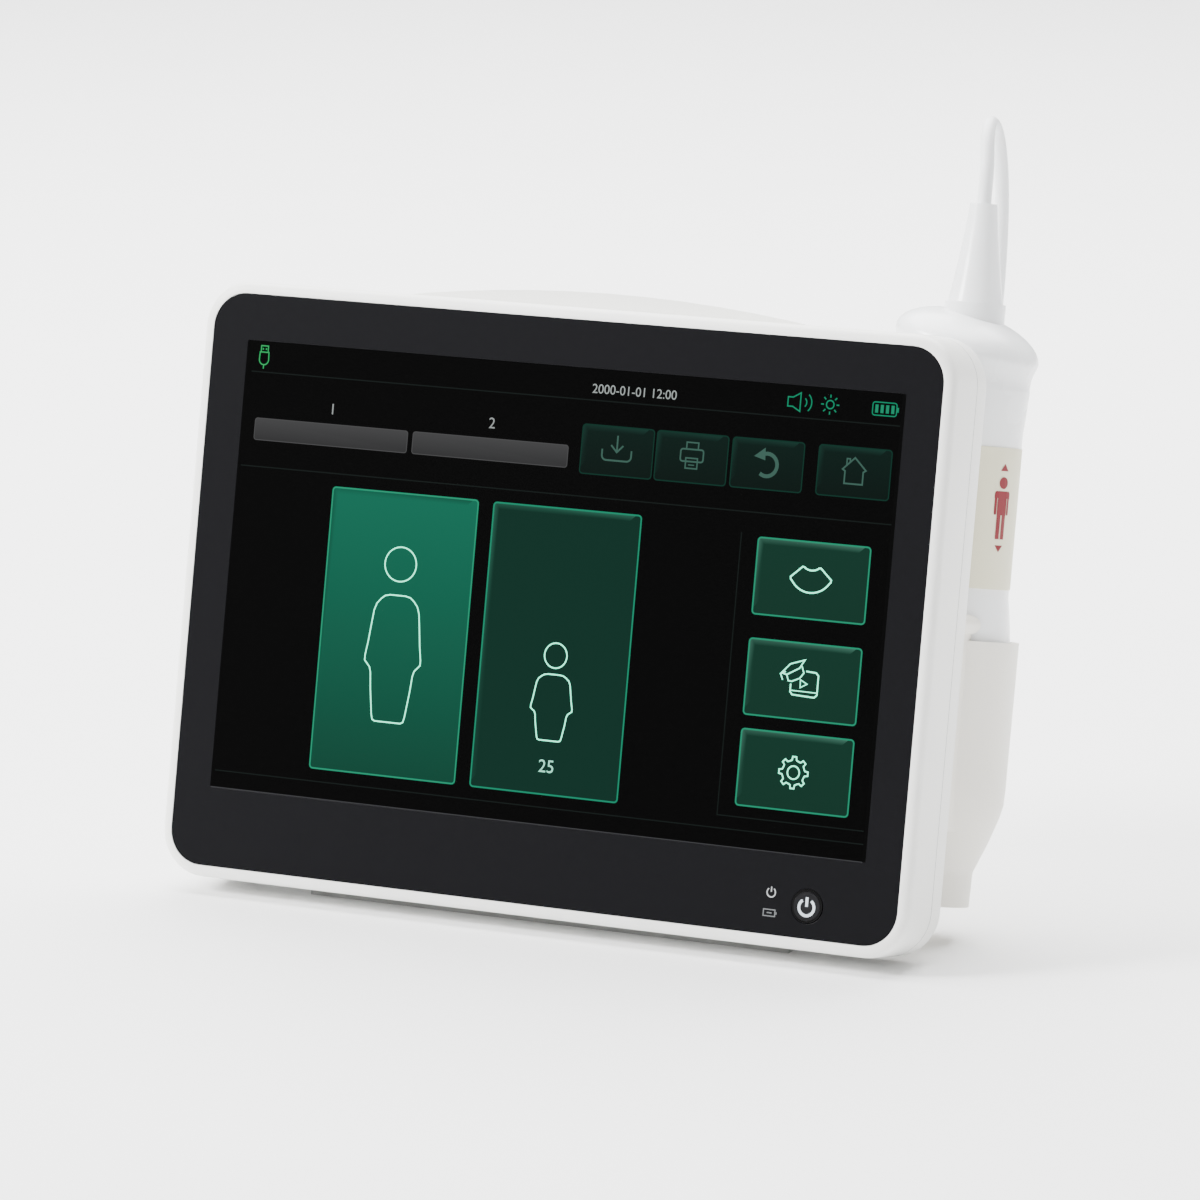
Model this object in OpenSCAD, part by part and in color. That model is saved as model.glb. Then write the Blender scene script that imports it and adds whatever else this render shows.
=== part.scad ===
// Bladder scanner: a leaning touch-screen console with a hand-held probe in a side holster.
// Millimetres. The origin is the middle of the console's foot strip, on the table.
// X runs to the viewer's right, Y runs away from the viewer and Z runs up.
// Inside the modules, X and Z run along the leaning front and Y runs back from the glass.

/* [Lean and screen] */
// Angle that the console leans back, in degrees
lean = 11; // [8:1:14]
// Width of the lit picture
screen_w = 217; // [214:0.5:220]
// Height of the lit picture
screen_h = 135.6; // [133:0.2:138]
// Glass beside the picture, on each side
side_margin = 12.2; // [12:0.1:16]
// Glass above the picture
top_margin = 13.9; // [13:0.1:20]
// Glass below the picture
bottom_margin = 23.8; // [23:0.1:30]

/* [Console] */
// Radius of the glass corners
glass_r = 10.5; // [8:0.5:12]
// Thickness of the cover glass
glass_t = 1.1; // [0.9:0.1:1.2]
// Width of the white rim round the glass
rim = 3.7; // [3.5:0.1:6]
// Rounding of the rim's front edge
rim_edge_r = 2.8; // [1:0.2:3]
// Depth of the front bezel, from the glass to the parting line
bezel_d = 16; // [15.5:0.5:18]
// Rounding of the rear shell's front edge, which makes the parting line
seam_r = 0.5; // [0.2:0.1:0.7]
// Depth of the rear shell's rim behind the parting line
shell_d = 8.6; // [8:0.2:11]
// Rounding of the rear shell's back edge
shell_edge_r = 2.6; // [1.5:0.2:3]
// Thickness of the moulded walls
wall = 2.4; // [2:0.1:2.6]

/* [Rear hump] */
// Width of the flat back on each side of the hump
flank_w = 48.4; // [46.4:0.2:51.4]
// Rise of the hump's arched top above the console's top
hump_rise = 2.9; // [1:0.1:5]
// Width over which the arch shows above the console's top
hump_arch_w = 104; // [90:1:116]
// Height of the hump's foot above the console's bottom
hump_lift = 15; // [12:1:22]
// Depth of the hump behind the rear shell's back
hump_d = 23.6; // [22:0.2:27]
// Corner radius of the hump
hump_r = 17; // [12:1:20]
// Rounding of the hump's back edge
hump_edge_r = 5; // [2:0.5:6]

/* [Stand] */
// Width of the fold-out leg
leg_w = 92; // [70:1:104]
// Thickness of the leg
leg_t = 4.6; // [3.6:0.1:5]
// Angle between the open leg and the back, in degrees
leg_open = 30; // [26:1:36]
// Drop of the hinge below the middle of the picture
hinge_drop = 19; // [17:1:24]
// Radius of the hinge pin
pin_r = 1.5; // [1:0.1:2]

/* [Feet] */
// Length of the rubber foot strip
foot_strip_w = 160; // [120:2:200]
// Width of the foot strip, front to back
foot_strip_d = 5; // [4:0.2:5.4]
// Least thickness of the foot strip
foot_strip_t = 1.5; // [1:0.1:3]

/* [Power button] */
// Radius of the pressed cap
cap_r = 4.2; // [3.5:0.1:4.6]
// Radius of the trim ring round the cap
ring_r = 4.9; // [4.8:0.1:6]
// How far the cap travels
cap_travel = 1; // [0.6:0.1:1]

/* [Probe] */
// Radius of the handle along the label
grip_r = 17.3; // [16:0.1:18]
// Radius of the head that sits in the cup
head_r = 19.2; // [18.6:0.1:20]
// Half width of the rounded shoulder
shoulder_r = 21.5; // [20:0.1:22.5]
// Height of the shoulder's dome
shoulder_rise = 10.2; // [8:0.2:12]
// Tilt of the shoulder towards the console, in degrees
shoulder_tilt = 11; // [0:1:14]
// Thickness of the probe's moulded wall
probe_wall = 2.2; // [1.8:0.1:2.6]
// Length of the strain relief
relief_l = 29.2; // [22:0.2:36]
// Radius of the strain relief at its foot
relief_r = 8.2; // [7:0.1:8.8]
// Diameter of the probe cable
cord_d = 4.2; // [3.8:0.1:4.4]

/* [Holster] */
// Gap between the head and the cup, all round
cup_gap = 0.5; // [0.4:0.1:0.8]
// Wall of the cup at its rim
cup_wall = 1.9; // [1.6:0.1:2.4]
// Radius of the cup's flat foot
cup_foot_r = 13.6; // [11:0.2:14]

/* [Hidden] */
$fn = 64;

// Common values
cut = 1;
slip = 0.15;
run_gap = 0.05;
big = 400;

// Sizes of the console's front
glass_w = screen_w + 2 * side_margin;
glass_h = screen_h + top_margin + bottom_margin;
face_z = (top_margin - bottom_margin) / 2;
console_w = glass_w + 2 * rim;
console_h = glass_h + 2 * rim;
console_r = glass_r + rim;
console_top = face_z + console_h / 2;
console_bottom = face_z - console_h / 2;
back_d = bezel_d + shell_d;
inner_back_d = back_d - wall;
ledge_w = 3;
ledge_t = 2;
ledge_d = glass_t + ledge_t;

// Sizes of the display stack
gasket_t = 0.9;
gasket_w = 4;
screen_d = glass_t + gasket_t;
lcd_side_border = 6.25;
lcd_top_border = 6.5;
lcd_w = screen_w + 2 * lcd_side_border;
lcd_h = screen_h + 2 * lcd_top_border;
lcd_gap = 0.5;
lcd_t = 4.8;
lcd_lip_t = 0.4;
chassis_d = screen_d + lcd_t;
chassis_t = 1.5;
chassis_web = 3;
board_gap = 3.7;
board_w = 128;
board_h = 84;
board_t = 1.6;
board_z = -20;
board_d = chassis_d + chassis_t + board_gap;
chip_t = 2.2;
post_r = 2.6;
button_post_r = 2;
screw_r = 1.25;
screw_head_r = 2.7;
screw_head_t = 1.8;
screw_clear = 0.1;
boss_r = 3;
boss_side_gap = 0.4;
case_boss_gap = 0.1;

// Chips on the main board, as shares of its width and height: across, up, and side length
chip_shares = [[-0.25, 0.1, 0.2], [0.12, 0.1, 0.14], [0.12, -0.22, 0.1], [-0.3, -0.28, 0.08]];

// Places of the screws, some as shares of the console's half sizes
case_screw_x = console_w / 2 - wall - boss_r - boss_side_gap;
case_screw_z_share = 0.88;
chassis_screw_x_share = 0.5;
tab_w = 12;
tab_z = lcd_h / 2 + boss_r + lcd_gap + run_gap;

// Hump and stand
hump_w = console_w - 2 * flank_w;
hump_top = console_top + hump_rise;
hump_bottom = console_bottom + hump_lift;
hump_h = hump_top - hump_bottom;
hump_z = (hump_top + hump_bottom) / 2;
arch_r = (pow(hump_arch_w / 2, 2) + pow(hump_rise, 2)) / (2 * hump_rise);
hump_draft = 2;
hump_back_d = back_d + hump_d;
hinge_z = -hinge_drop;
barrel_wall = 1.8;
barrel_r = pin_r + barrel_wall;
pocket_gap = 0.6;
pocket_deep = 2 * barrel_r + 2 * pocket_gap;
pocket_d = hump_back_d - pocket_deep;
hinge_d = pocket_d + pocket_gap + barrel_r;
pocket_top = hinge_z + barrel_r + pocket_gap;
pin_in_wall = 5;
pin_l = leg_w + 2 * (pocket_gap + pin_in_wall);
leg_tilt = leg_open - lean;

// Battery bay and wall mount
bay_z = 36;
pack_w = 58;
pack_h = 68;
pack_t = 20;
bay_gap = 0.5;
bay_wall = 1.8;
door_t = 2.2;
door_land = 6.5;
door_side_land = 2;
door_w = pack_w + 2 * (bay_gap + door_side_land);
door_h = pack_h + 2 * (bay_gap + door_land);
pack_d = hump_back_d - door_t - pack_t - bay_gap;
mount_pitch = 75;
insert_r = 3;
insert_l = 6;
thread_r = 1.65;
insert_post_r = 4.6;

// Foot strip and table, worked out in the leaning frame
strip_back_d = back_d - shell_edge_r - slip;
strip_mid_d = strip_back_d - foot_strip_d / 2;
table_z = console_bottom * cos(lean) - strip_back_d * sin(lean) - foot_strip_t;
strip_mid_z = (table_z + strip_mid_d * sin(lean)) / cos(lean);
origin_y = strip_mid_d * cos(lean) + strip_mid_z * sin(lean);
foot_deep = 9;

// Hinge of the stand in the upright frame
hinge_y = hinge_d * cos(lean) + hinge_z * sin(lean) - origin_y;
hinge_up = hinge_z * cos(lean) - hinge_d * sin(lean) - table_z;
leg_l = hinge_up / cos(leg_tilt);
leg_foot_h = 7;
leg_foot_t = 8;
leg_foot_in = 6;
leg_end = leg_l - leg_foot_h;
leg_groove = 1.2;
groove_x_share = 0.294;
groove_w_share = 0.227;
groove_z_share = 0.55;
groove_l_share = 0.6;

// Power button
button_in = 16.3;
button_up = 13.1;
button_x = screen_w / 2 - button_in;
button_z = console_bottom + button_up;
ring_wall = 0.55;
ring_lip = 1.3;
ring_flange_r = ring_r + ring_lip;
ring_flange_t = 0.8;
cap_lip = 0.5;
cap_flange_r = ring_r + cap_lip;
cap_flange_t = 0.8;
cap_proud = 0.3;
ring_proud = 0.15;
stem_r = 1.5;
stem_l = 4.1;
switch_w = 6;
switch_t = 2;
button_board_w = 28;
button_board_h = 11;
button_board_t = 1.2;
button_board_in = 4.5;
button_board_x = button_x - button_board_in;
lamp_in = 11.7;
lamp_x = button_x - lamp_in;
lamp_pitch = 5.9;
pipe_r = 1.1;
stem_end_d = glass_t + ring_flange_t + cap_flange_t + stem_l;
switch_d = stem_end_d + cap_travel + slip;
button_board_d = switch_d + switch_t;

// Rear fittings
side_x = (console_w - flank_w) / 2;
speaker_r = 14;
speaker_t = 5.6;
speaker_z = 42;
grille_r = 0.9;
grille_pitch = 4.2;
vent_w = 2;
vent_l = 18;
vent_pitch = 5;
port_board_w = 26;
port_board_h = 44;
port_board_z = -14;
usb_w = 13.2;
usb_h = 5.8;
usb_wall = 0.5;
port_shift = 10.6;
tongue_t = 2.2;
tongue_z = 0.75;
inlet_w = 11;
inlet_r = 2.75;
inlet_pin_r = 1;
port_sink = 0.4;
port_deep = 8;
socket_in = 14.5;
socket_up = 28;
socket_x = socket_in - console_w / 2;
socket_z = console_bottom + socket_up;
socket_r = 6.6;
socket_flange_r = 8.2;
socket_flange_t = 1.6;
plug_nose_r = 4.6;
plug_nose_l = 7;
plug_r = 6.4;
plug_l = 13;
plug_gap = 0.3;
plug_relief_l = 10;
plug_relief_r = 4.4;
plug_relief_lip = 0.2;
plug_end_d = back_d + socket_flange_t + plug_gap + plug_l;

// Probe, measured along its own axis
probe_in = 16.8;
probe_x = console_w / 2 - probe_in;
probe_d = 48;
dome_z = -45.5;
seal_z = -31;
seal_t = 2;
grip_low_z = 11;
grip_high_z = 58;
handle_top = 71.7;
shoulder_z = 83.6;
shoulder_shift = 1.5;
shoulder_sides = 48;
shoulder_steps = 9;
neck_r = 18.3;
head_blend = 0.7;
collar_r = 9.05;
collar_seat_z = 90.4;
collar_top = 96.6;
relief_top = collar_top + relief_l;
relief_tip_r = 4.05;
label_w = 20.6;
label_turn = 20;
label_h = 41.6;
label_z = 34.1;
label_t = 0.35;
label_gap = 0.03;
inner_r = grip_r - probe_wall;
mount_z = -26;
mount_t = 5;
mount_step = 1.2;
stack_r = 10;
stack_h = 14;
probe_board_w = 22;
probe_board_h = 52;

// Holster
cup_in_r = head_r + cup_gap;
cup_r = cup_in_r + cup_wall;
cup_rim_z = -2;
cup_foot_z = -80.7;
ear_r = 3;
ear_in = 4;
ear_x = console_w / 2 - ear_in;
ear_z = 2.6;
bracket_d = 11.5;
bracket_in = 1.2;
bracket_low = -58;
flange_t = 3;
flange_gap = 1.4;
flange_x = hump_w / 2 + hump_draft + flange_gap;
flange_w = 19;
flange_hole_in = 4.4;
flange_hole_x = flange_x + flange_hole_in;
flange_hole_z_shares = [0.2, 0.8];

// Shares of the cup's outline: radius between foot and rim, height between foot and rim
cup_shares = [
    [0, 0], [0.04, 0.13], [0.14, 0.155], [0.49, 0.24], [0.84, 0.342], [0.95, 0.39], [0.975, 0.45], [1, 1]];

// Shares of the shoulder's underside: height from the handle, radius, and tilt
under_shares = [[0.9, 0.985, 1], [0.72, 0.945, 0.92], [0.5, 0.905, 0.7], [0.25, 0.87, 0.4], [0, 0.851, 0]];

// Shares of the relief's taper: height along it and radius between tip and foot
relief_shares = [[0, 1], [0.16, 0.79], [0.45, 0.46], [0.74, 0.19], [1, 0]];

// Cable route, in the upright frame with its origin on the table
cord_lie = 2.2;
cord_back = 105.7;
cord_high_route = [
    [107.3, 73.4, 225], [105.6, 77.4, 232], [103.6, 83.6, 235.6], [102.6, 90, 233.4],
    [102.1, 94.6, 226], [101.8, 97.1, 214.5], [101.2, 98.2, 200], [100, 98.8, 184],
    [98.4, 99.1, 168], [96.8, 99.4, 155]];
cord_low_route = [
    [96.8, 99.4, 155], [95.2, 99.7, 142], [92.4, 100.4, 122], [88.6, 101.4, 100],
    [83.6, 102.5, 78], [77, 103.6, 56], [68.6, 104.6, 36], [57.6, 105.4, 19], [44, 105.7, 8],
    [28, 105.7, 3.2], [10, 105.7, cord_lie], [-12, 105.7, cord_lie], [-36, 105.7, cord_lie],
    [-58, 105.7, cord_lie], [-76, 105.7, cord_lie]];
cord_tail_route = [
    [-119.4, 60, 7.7], [-118.2, 55, 10.4], [-116, 50.8, 14.6], [-113.2, 47.2, 18.8],
    [-110.9, 44, 21.8]];
coil_x = -88;
coil_y = 74;
coil_turns = 7.25;
coil_gap = 0.5;
coil_step = cord_d + coil_gap;
coil_r = cord_back - coil_y;
coil_in_r = coil_r - coil_step * coil_turns / 2;
coil_sides = 6;
coil_rings = 24;
cord_sides = 10;

// Moves the leaning frame into the upright one
module leaning() {
    translate([0, -origin_y, -table_z]) rotate([-lean, 0, 0]) children();
}

// The upright place of a point of the leaning frame
function upright(x, d, z) = [
    x, d * cos(lean) + z * sin(lean) - origin_y, z * cos(lean) - d * sin(lean) - table_z];

// A flat outline in X and Z, made thick from depth d back to d + t
module slab(d, t) {
    translate([0, d + t, 0]) rotate([90, 0, 0]) linear_extrude(t) children();
}

// A round bar along the depth
module rod(x, z, d, l, r) {
    translate([x, d, z]) rotate([-90, 0, 0]) cylinder(r = r, h = l);
}

// A rectangle with round corners, centred
module round_rect(w, h, r) {
    square([w - 2 * r, h], center = true);
    square([w, h - 2 * r], center = true);
    for (x = [-1, 1], z = [-1, 1])
        translate([x * (w / 2 - r), z * (h / 2 - r)]) circle(r);
}

// The console's outline, drawn in by an inset
module console_outline(inset) {
    round_rect(console_w - 2 * inset, console_h - 2 * inset, console_r - inset, $fn = 40);
}

// A console-shaped block whose front or back edge is rounded
module console_block(d, t, front_r, back_r) {
    steps = 5;
    thin = 0.01;
    hull() for (i = [0:steps]) {
        a = 90 * i / steps;
        front_in = front_r * (1 - sin(a));
        back_in = back_r * (1 - sin(a));
        translate([0, 0, face_z]) {
            if (front_r > 0)
                slab(d + front_r * (1 - cos(a)), thin) console_outline(front_in);
            if (back_r > 0)
                slab(d + t - thin - back_r * (1 - cos(a)), thin) console_outline(back_in);
            slab(d, thin) console_outline(front_r);
            slab(d + t - thin, thin) console_outline(back_r);
        }
    }
}

// The six places of the case screws
module at_case_screws() {
    for (x = [-1, 1], z = [-1, 0, 1])
        translate([x * case_screw_x, 0, face_z + z * case_screw_z_share * (console_h / 2 - wall)])
            children();
}

// The four places of the chassis screws
module at_chassis_screws() {
    for (x = [-1, 1], z = [-1, 1])
        translate([x * chassis_screw_x_share * console_w / 2, 0, z * tab_z]) children();
}

// A pan-head screw whose shank runs forward from depth d
module screw(d, l) {
    rod(0, 0, d, screw_head_t, screw_head_r);
    rod(0, 0, d - l, l, screw_r - screw_clear);
}

module front_bezel() color("white") leaning() difference() {
    union() {
        difference() {
            console_block(0, bezel_d, rim_edge_r, 0);
            translate([0, 0, face_z]) slab(-cut, glass_t + cut)
                round_rect(glass_w + 2 * slip, glass_h + 2 * slip, glass_r + slip);
            translate([0, 0, face_z]) slab(ledge_d, bezel_d)
                round_rect(console_w - 2 * wall, console_h - 2 * wall, console_r - wall);
            slab(0, bezel_d) round_rect(lcd_w + 2 * lcd_gap, lcd_h + 2 * lcd_gap, 2 * lcd_gap);
        }
        at_case_screws()
            rod(0, 0, ledge_d - ledge_t / 2, bezel_d - ledge_d + ledge_t / 2 - case_boss_gap, boss_r);
        at_chassis_screws() rod(0, 0, ledge_d - ledge_t / 2, chassis_d - ledge_d + ledge_t / 2, boss_r);
        for (x = [-1, 1])
            rod(button_board_x + x * (button_board_w / 2 - post_r), button_z, ledge_d - ledge_t / 2,
                button_board_d - ledge_d + ledge_t / 2, button_post_r);
    }
    at_case_screws() rod(0, 0, ledge_d + ledge_t, bezel_d, screw_r);
    at_chassis_screws() rod(0, 0, ledge_d, chassis_d, screw_r);
    rod(button_x, button_z, 0, ledge_d + cut, ring_flange_r + slip);
    for (z = [-1, 1]) rod(lamp_x, button_z + z * lamp_pitch / 2, 0, ledge_d + cut, pipe_r + run_gap);
}

module cover_glass() color("#202022") leaning() difference() {
    translate([0, 0, face_z]) slab(0, glass_t) round_rect(glass_w, glass_h, glass_r);
    rod(button_x, button_z, -cut, glass_t + 2 * cut, ring_r + slip);
}

module display_gasket() color("#18181a") leaning() slab(glass_t, gasket_t) difference() {
    square([lcd_w - 2 * lcd_lip_t, lcd_h - 2 * lcd_lip_t], center = true);
    square([lcd_w - 2 * gasket_w, lcd_h - 2 * gasket_w], center = true);
}

module lcd_panel() color("#0a0a0b") leaning() difference() {
    slab(screen_d, lcd_t) square([lcd_w, lcd_h], center = true);
    slab(screen_d + lcd_t - lcd_lip_t, lcd_t) difference() {
        square([lcd_w - 2 * gasket_w, lcd_h - 2 * gasket_w], center = true);
        square([lcd_w / 2, lcd_h / 2], center = true);
    }
}

module chassis() color("#b8bcc0") leaning() difference() {
    union() {
        slab(chassis_d, chassis_t) {
            round_rect(lcd_w, lcd_h, boss_r);
            at_flat_tabs() round_rect(tab_w, 2 * boss_r + tab_w / 2, boss_r);
        }
        at_board_posts() rod(0, 0, chassis_d, chassis_t + board_gap, post_r);
        at_port_posts() rod(0, 0, chassis_d, chassis_t + board_gap, post_r);
    }
    at_chassis_screws() rod(0, 0, chassis_d - cut, bezel_d, screw_r + screw_clear);
    at_board_posts() rod(0, 0, chassis_d + chassis_t, bezel_d, screw_r);
    window_out = side_x - port_board_w / 2 - chassis_web;
    window_in = board_w / 2 + chassis_web;
    for (x = [-1, 1]) translate([x * (window_out + window_in) / 2, 0, 0])
        slab(chassis_d - cut, chassis_t + 2 * cut) round_rect(window_out - window_in, lcd_h / 2, boss_r);
}

// The chassis tabs, flat
module at_flat_tabs() {
    for (x = [-1, 1], z = [-1, 1])
        translate([x * chassis_screw_x_share * console_w / 2, z * (tab_z - tab_w / 4)]) children();
}

module chassis_screws() color("silver") leaning()
    at_chassis_screws() screw(chassis_d + chassis_t, chassis_d - ledge_d);

// Main board, behind the chassis and in front of the battery bay
module at_board_posts() {
    for (x = [-1, 1], z = [-1, 1])
        translate([x * (board_w / 2 - 2 * post_r), 0, board_z + z * (board_h / 2 - 2 * post_r)])
            children();
}

module main_board() color("#1f6b3a") leaning() difference() {
    union() {
        translate([0, 0, board_z]) slab(board_d, board_t) square([board_w, board_h], center = true);
        for (p = chip_shares)
            translate([p[0] * board_w, 0, board_z + p[1] * board_h])
                slab(board_d + board_t, chip_t) square(p[2] * board_w, center = true);
    }
    at_board_posts() rod(0, 0, board_d - cut, board_t + 2 * cut, screw_r + screw_clear);
}

module board_screws() color("silver") leaning()
    at_board_posts() screw(board_d + board_t, board_gap + board_t - screw_clear);

module button_board() color("#1f6b3a") leaning() {
    translate([button_board_x, 0, button_z]) slab(button_board_d, button_board_t)
        square([button_board_w, button_board_h], center = true);
    translate([button_x, 0, button_z]) slab(switch_d, switch_t) square(switch_w, center = true);
    for (z = [-1, 1]) translate([lamp_x, 0, button_z + z * lamp_pitch / 2])
        slab(button_board_d - pipe_r, pipe_r) square(2 * pipe_r, center = true);
}

module light_pipes() color("#dfe6ea") leaning()
    for (z = [-1, 1])
        rod(lamp_x, button_z + z * lamp_pitch / 2, glass_t,
            button_board_d - pipe_r - glass_t - slip, pipe_r);

module button_ring() color("#8d9094") leaning() difference() {
    union() {
        rod(button_x, button_z, -ring_proud, ring_proud + glass_t, ring_r);
        rod(button_x, button_z, glass_t, ring_flange_t, ring_flange_r);
    }
    rod(button_x, button_z, -cut, glass_t + ring_flange_t + 2 * cut, ring_r - ring_wall);
}

module power_cap() color("#2a2a2c") leaning() {
    rod(button_x, button_z, -cap_proud, cap_proud + glass_t + ring_flange_t + slip + cap_flange_t, cap_r);
    rod(button_x, button_z, glass_t + ring_flange_t + slip, cap_flange_t, cap_flange_r);
    rod(button_x, button_z, glass_t + ring_flange_t + slip,
        stem_end_d - glass_t - ring_flange_t - slip, stem_r);
}

// The hump's outline, drawn in by an inset
module hump_outline(inset) {
    intersection() {
        translate([0, hump_z])
            round_rect(hump_w - 2 * inset, hump_h - 2 * inset, hump_r - inset, $fn = 40);
        translate([0, hump_top - arch_r]) circle(arch_r - inset, $fn = 240);
    }
}

module hump_block() {
    steps = 4;
    thin = 0.01;
    hull() {
        slab(inner_back_d, thin) hump_outline(-hump_draft * (hump_d + wall) / hump_d);
        for (i = [0:steps]) {
            a = 90 * i / steps;
            slab(hump_back_d - thin - hump_edge_r * (1 - cos(a)), thin)
                hump_outline(hump_edge_r * (1 - sin(a)));
        }
    }
}

// The four places of the wall-mount inserts
module at_inserts() {
    for (x = [-1, 1], z = [-1, 1])
        translate([x * mount_pitch / 2, 0, bay_z + z * mount_pitch / 2]) children();
}

module at_door_screws() {
    for (z = [-1, 1]) translate([0, 0, bay_z + z * (door_h / 2 - door_land / 2)]) children();
}

module rear_shell() color("#f4f4f1") leaning() difference() {
    union() {
        difference() {
            union() {
                console_block(bezel_d, shell_d, seam_r, shell_edge_r);
                hump_block();
            }
            shell_cavity();
        }
        intersection() {
            union() {
                at_case_screws() rod(0, 0, bezel_d, back_d - bezel_d - cut, boss_r);
                at_inserts()
                    rod(0, 0, pocket_d - insert_l, hump_back_d - pocket_d + insert_l - cut, insert_post_r);
                translate([0, 0, bay_z]) slab(pack_d - bay_wall, hump_back_d - pack_d - cut) square([
                    pack_w + 2 * (bay_gap + bay_wall), pack_h + 2 * (bay_gap + bay_wall)], center = true);
                at_door_screws()
                    rod(0, 0, pocket_d - insert_l, hump_back_d - pocket_d + insert_l - cut, boss_r);
                translate([0, 0, (pocket_top + wall + hump_bottom) / 2])
                    slab(pocket_d - wall, pocket_deep)
                        square([pin_l + 2 * wall, pocket_top + wall - hump_bottom - cut], center = true);
            }
            union() {
                console_block(bezel_d, shell_d, seam_r, shell_edge_r);
                hump_block();
            }
        }
    }
    at_case_screws() rod(0, 0, bezel_d - cut, 2 * shell_d, screw_r + screw_clear);
    at_case_screws() rod(0, 0, back_d - screw_head_t - 2 * slip, shell_d, screw_head_r + screw_clear);
    at_inserts() rod(0, 0, pocket_d - insert_l - cut, big, insert_r + run_gap);
    translate([0, 0, bay_z]) slab(pack_d, hump_d + cut)
        square([pack_w + 2 * bay_gap, pack_h + 2 * bay_gap], center = true);
    translate([0, 0, bay_z]) slab(hump_back_d - door_t, door_t + cut)
        round_rect(door_w + 2 * slip, door_h + 2 * slip, boss_r);
    at_door_screws() rod(0, 0, pocket_d, hump_back_d, screw_r);
    translate([0, 0, (pocket_top + hump_bottom - big) / 2]) slab(pocket_d, pocket_deep + cut)
        square([leg_w + 2 * pocket_gap, pocket_top - hump_bottom + big], center = true);
    translate([-pin_l / 2, hinge_d, hinge_z]) rotate([0, 90, 0]) cylinder(r = pin_r + run_gap, h = pin_l);
    rear_openings();
}

// Hollow of the rear shell and of the hump
module shell_cavity() {
    translate([0, 0, face_z]) slab(bezel_d - cut, inner_back_d - bezel_d + cut)
        round_rect(console_w - 2 * wall, console_h - 2 * wall, console_r - wall);
    hollow_bottom = hump_bottom + wall;
    hollow_top = hump_top - hump_rise - 2 * wall;
    translate([0, 0, (hollow_top + hollow_bottom) / 2]) slab(bezel_d, hump_back_d - wall - bezel_d)
        round_rect(hump_w - 2 * hump_edge_r, hollow_top - hollow_bottom, hump_r - wall);
}

// Ports, grille, vents and sockets that pass through the rear shell's flat back
module rear_openings() {
    translate([-side_x, 0, port_board_z + port_shift]) slab(bezel_d, shell_d + cut)
        square([usb_w + 2 * slip, usb_h + 2 * slip], center = true);
    rod(-side_x, port_board_z - port_shift, bezel_d, shell_d + cut, inlet_w / 2 + slip);
    rod(socket_x, socket_z, bezel_d, shell_d + cut, socket_r + slip);
    for (x = [-2:2], z = [-2:2]) if (abs(x) + abs(z) < 4)
        rod(-side_x + x * grille_pitch, speaker_z + z * grille_pitch, bezel_d, shell_d + cut, grille_r);
    for (i = [-3:3]) translate([side_x, 0, speaker_z + i * vent_pitch])
        slab(bezel_d, shell_d + cut) round_rect(vent_l, vent_w, vent_w / 2 - run_gap / 2);
    for (z = flange_hole_z_shares)
        rod(flange_hole_x, bracket_low * z + cup_rim_z, bezel_d, shell_d + cut, screw_r);
}

module case_screws() color("silver") leaning()
    at_case_screws()
        screw(back_d - screw_head_t - 2 * slip, back_d - screw_head_t - ledge_d - ledge_t - 2 * cut);

module speaker() color("#2c2c2e") leaning() difference() {
    rod(-side_x, speaker_z, inner_back_d - speaker_t, speaker_t, speaker_r);
    rod(-side_x, speaker_z, inner_back_d - chip_t / 2, chip_t, speaker_r - wall);
}

module battery_pack() color("#2e62a6") leaning() {
    row_r = pack_t / 2 - bay_gap;
    translate([0, 0, bay_z]) slab(pack_d + slip, row_r) square([pack_w, pack_h], center = true);
    for (i = [-1:1])
        translate([i * 2 * row_r, pack_d + slip + row_r, bay_z - pack_h / 2])
            cylinder(r = row_r, h = pack_h);
}

module battery_door() color("#eeeeea") leaning() difference() {
    translate([0, 0, bay_z]) slab(hump_back_d - door_t, door_t) round_rect(door_w, door_h, boss_r - slip);
    at_door_screws() rod(0, 0, hump_back_d - door_t - cut, door_t + 2 * cut, screw_r + screw_clear);
    for (i = [-2:2]) translate([0, 0, bay_z + i * vent_pitch])
        slab(hump_back_d - vent_w / 4, cut) round_rect(vent_l, vent_w, vent_w / 2 - run_gap / 2);
}

module door_screws() color("silver") leaning()
    at_door_screws() screw(hump_back_d, pocket_deep - screw_clear);

module wall_mount_inserts() color("#c9a24a") leaning()
    at_inserts() difference() {
        rod(0, 0, hump_back_d - insert_l, insert_l - slip, insert_r);
        rod(0, 0, hump_back_d - insert_l - cut, insert_l + 2 * cut, thread_r);
    }

module at_port_posts() {
    post_x = port_board_w / 2 - post_r;
    post_z = port_board_h / 2 - post_r;
    for (x = [-1, 1], z = [-1, 1])
        translate([-side_x + x * post_x, 0, port_board_z + z * post_z]) children();
}

module port_board() color("#1f6b3a") leaning()
    translate([-side_x, 0, port_board_z]) slab(board_d, board_t)
        square([port_board_w, port_board_h], center = true);

module usb_port() color("#b9bdc2") leaning() translate([-side_x, 0, port_board_z + port_shift]) {
    difference() {
        slab(board_d + board_t, back_d - port_sink - board_d - board_t)
            square([usb_w, usb_h], center = true);
        slab(back_d - port_sink - port_deep, back_d) difference() {
            square([usb_w - 2 * usb_wall, usb_h - 2 * usb_wall], center = true);
            translate([0, tongue_z]) square([usb_w - 4 * usb_wall, tongue_t], center = true);
        }
    }
}

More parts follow.
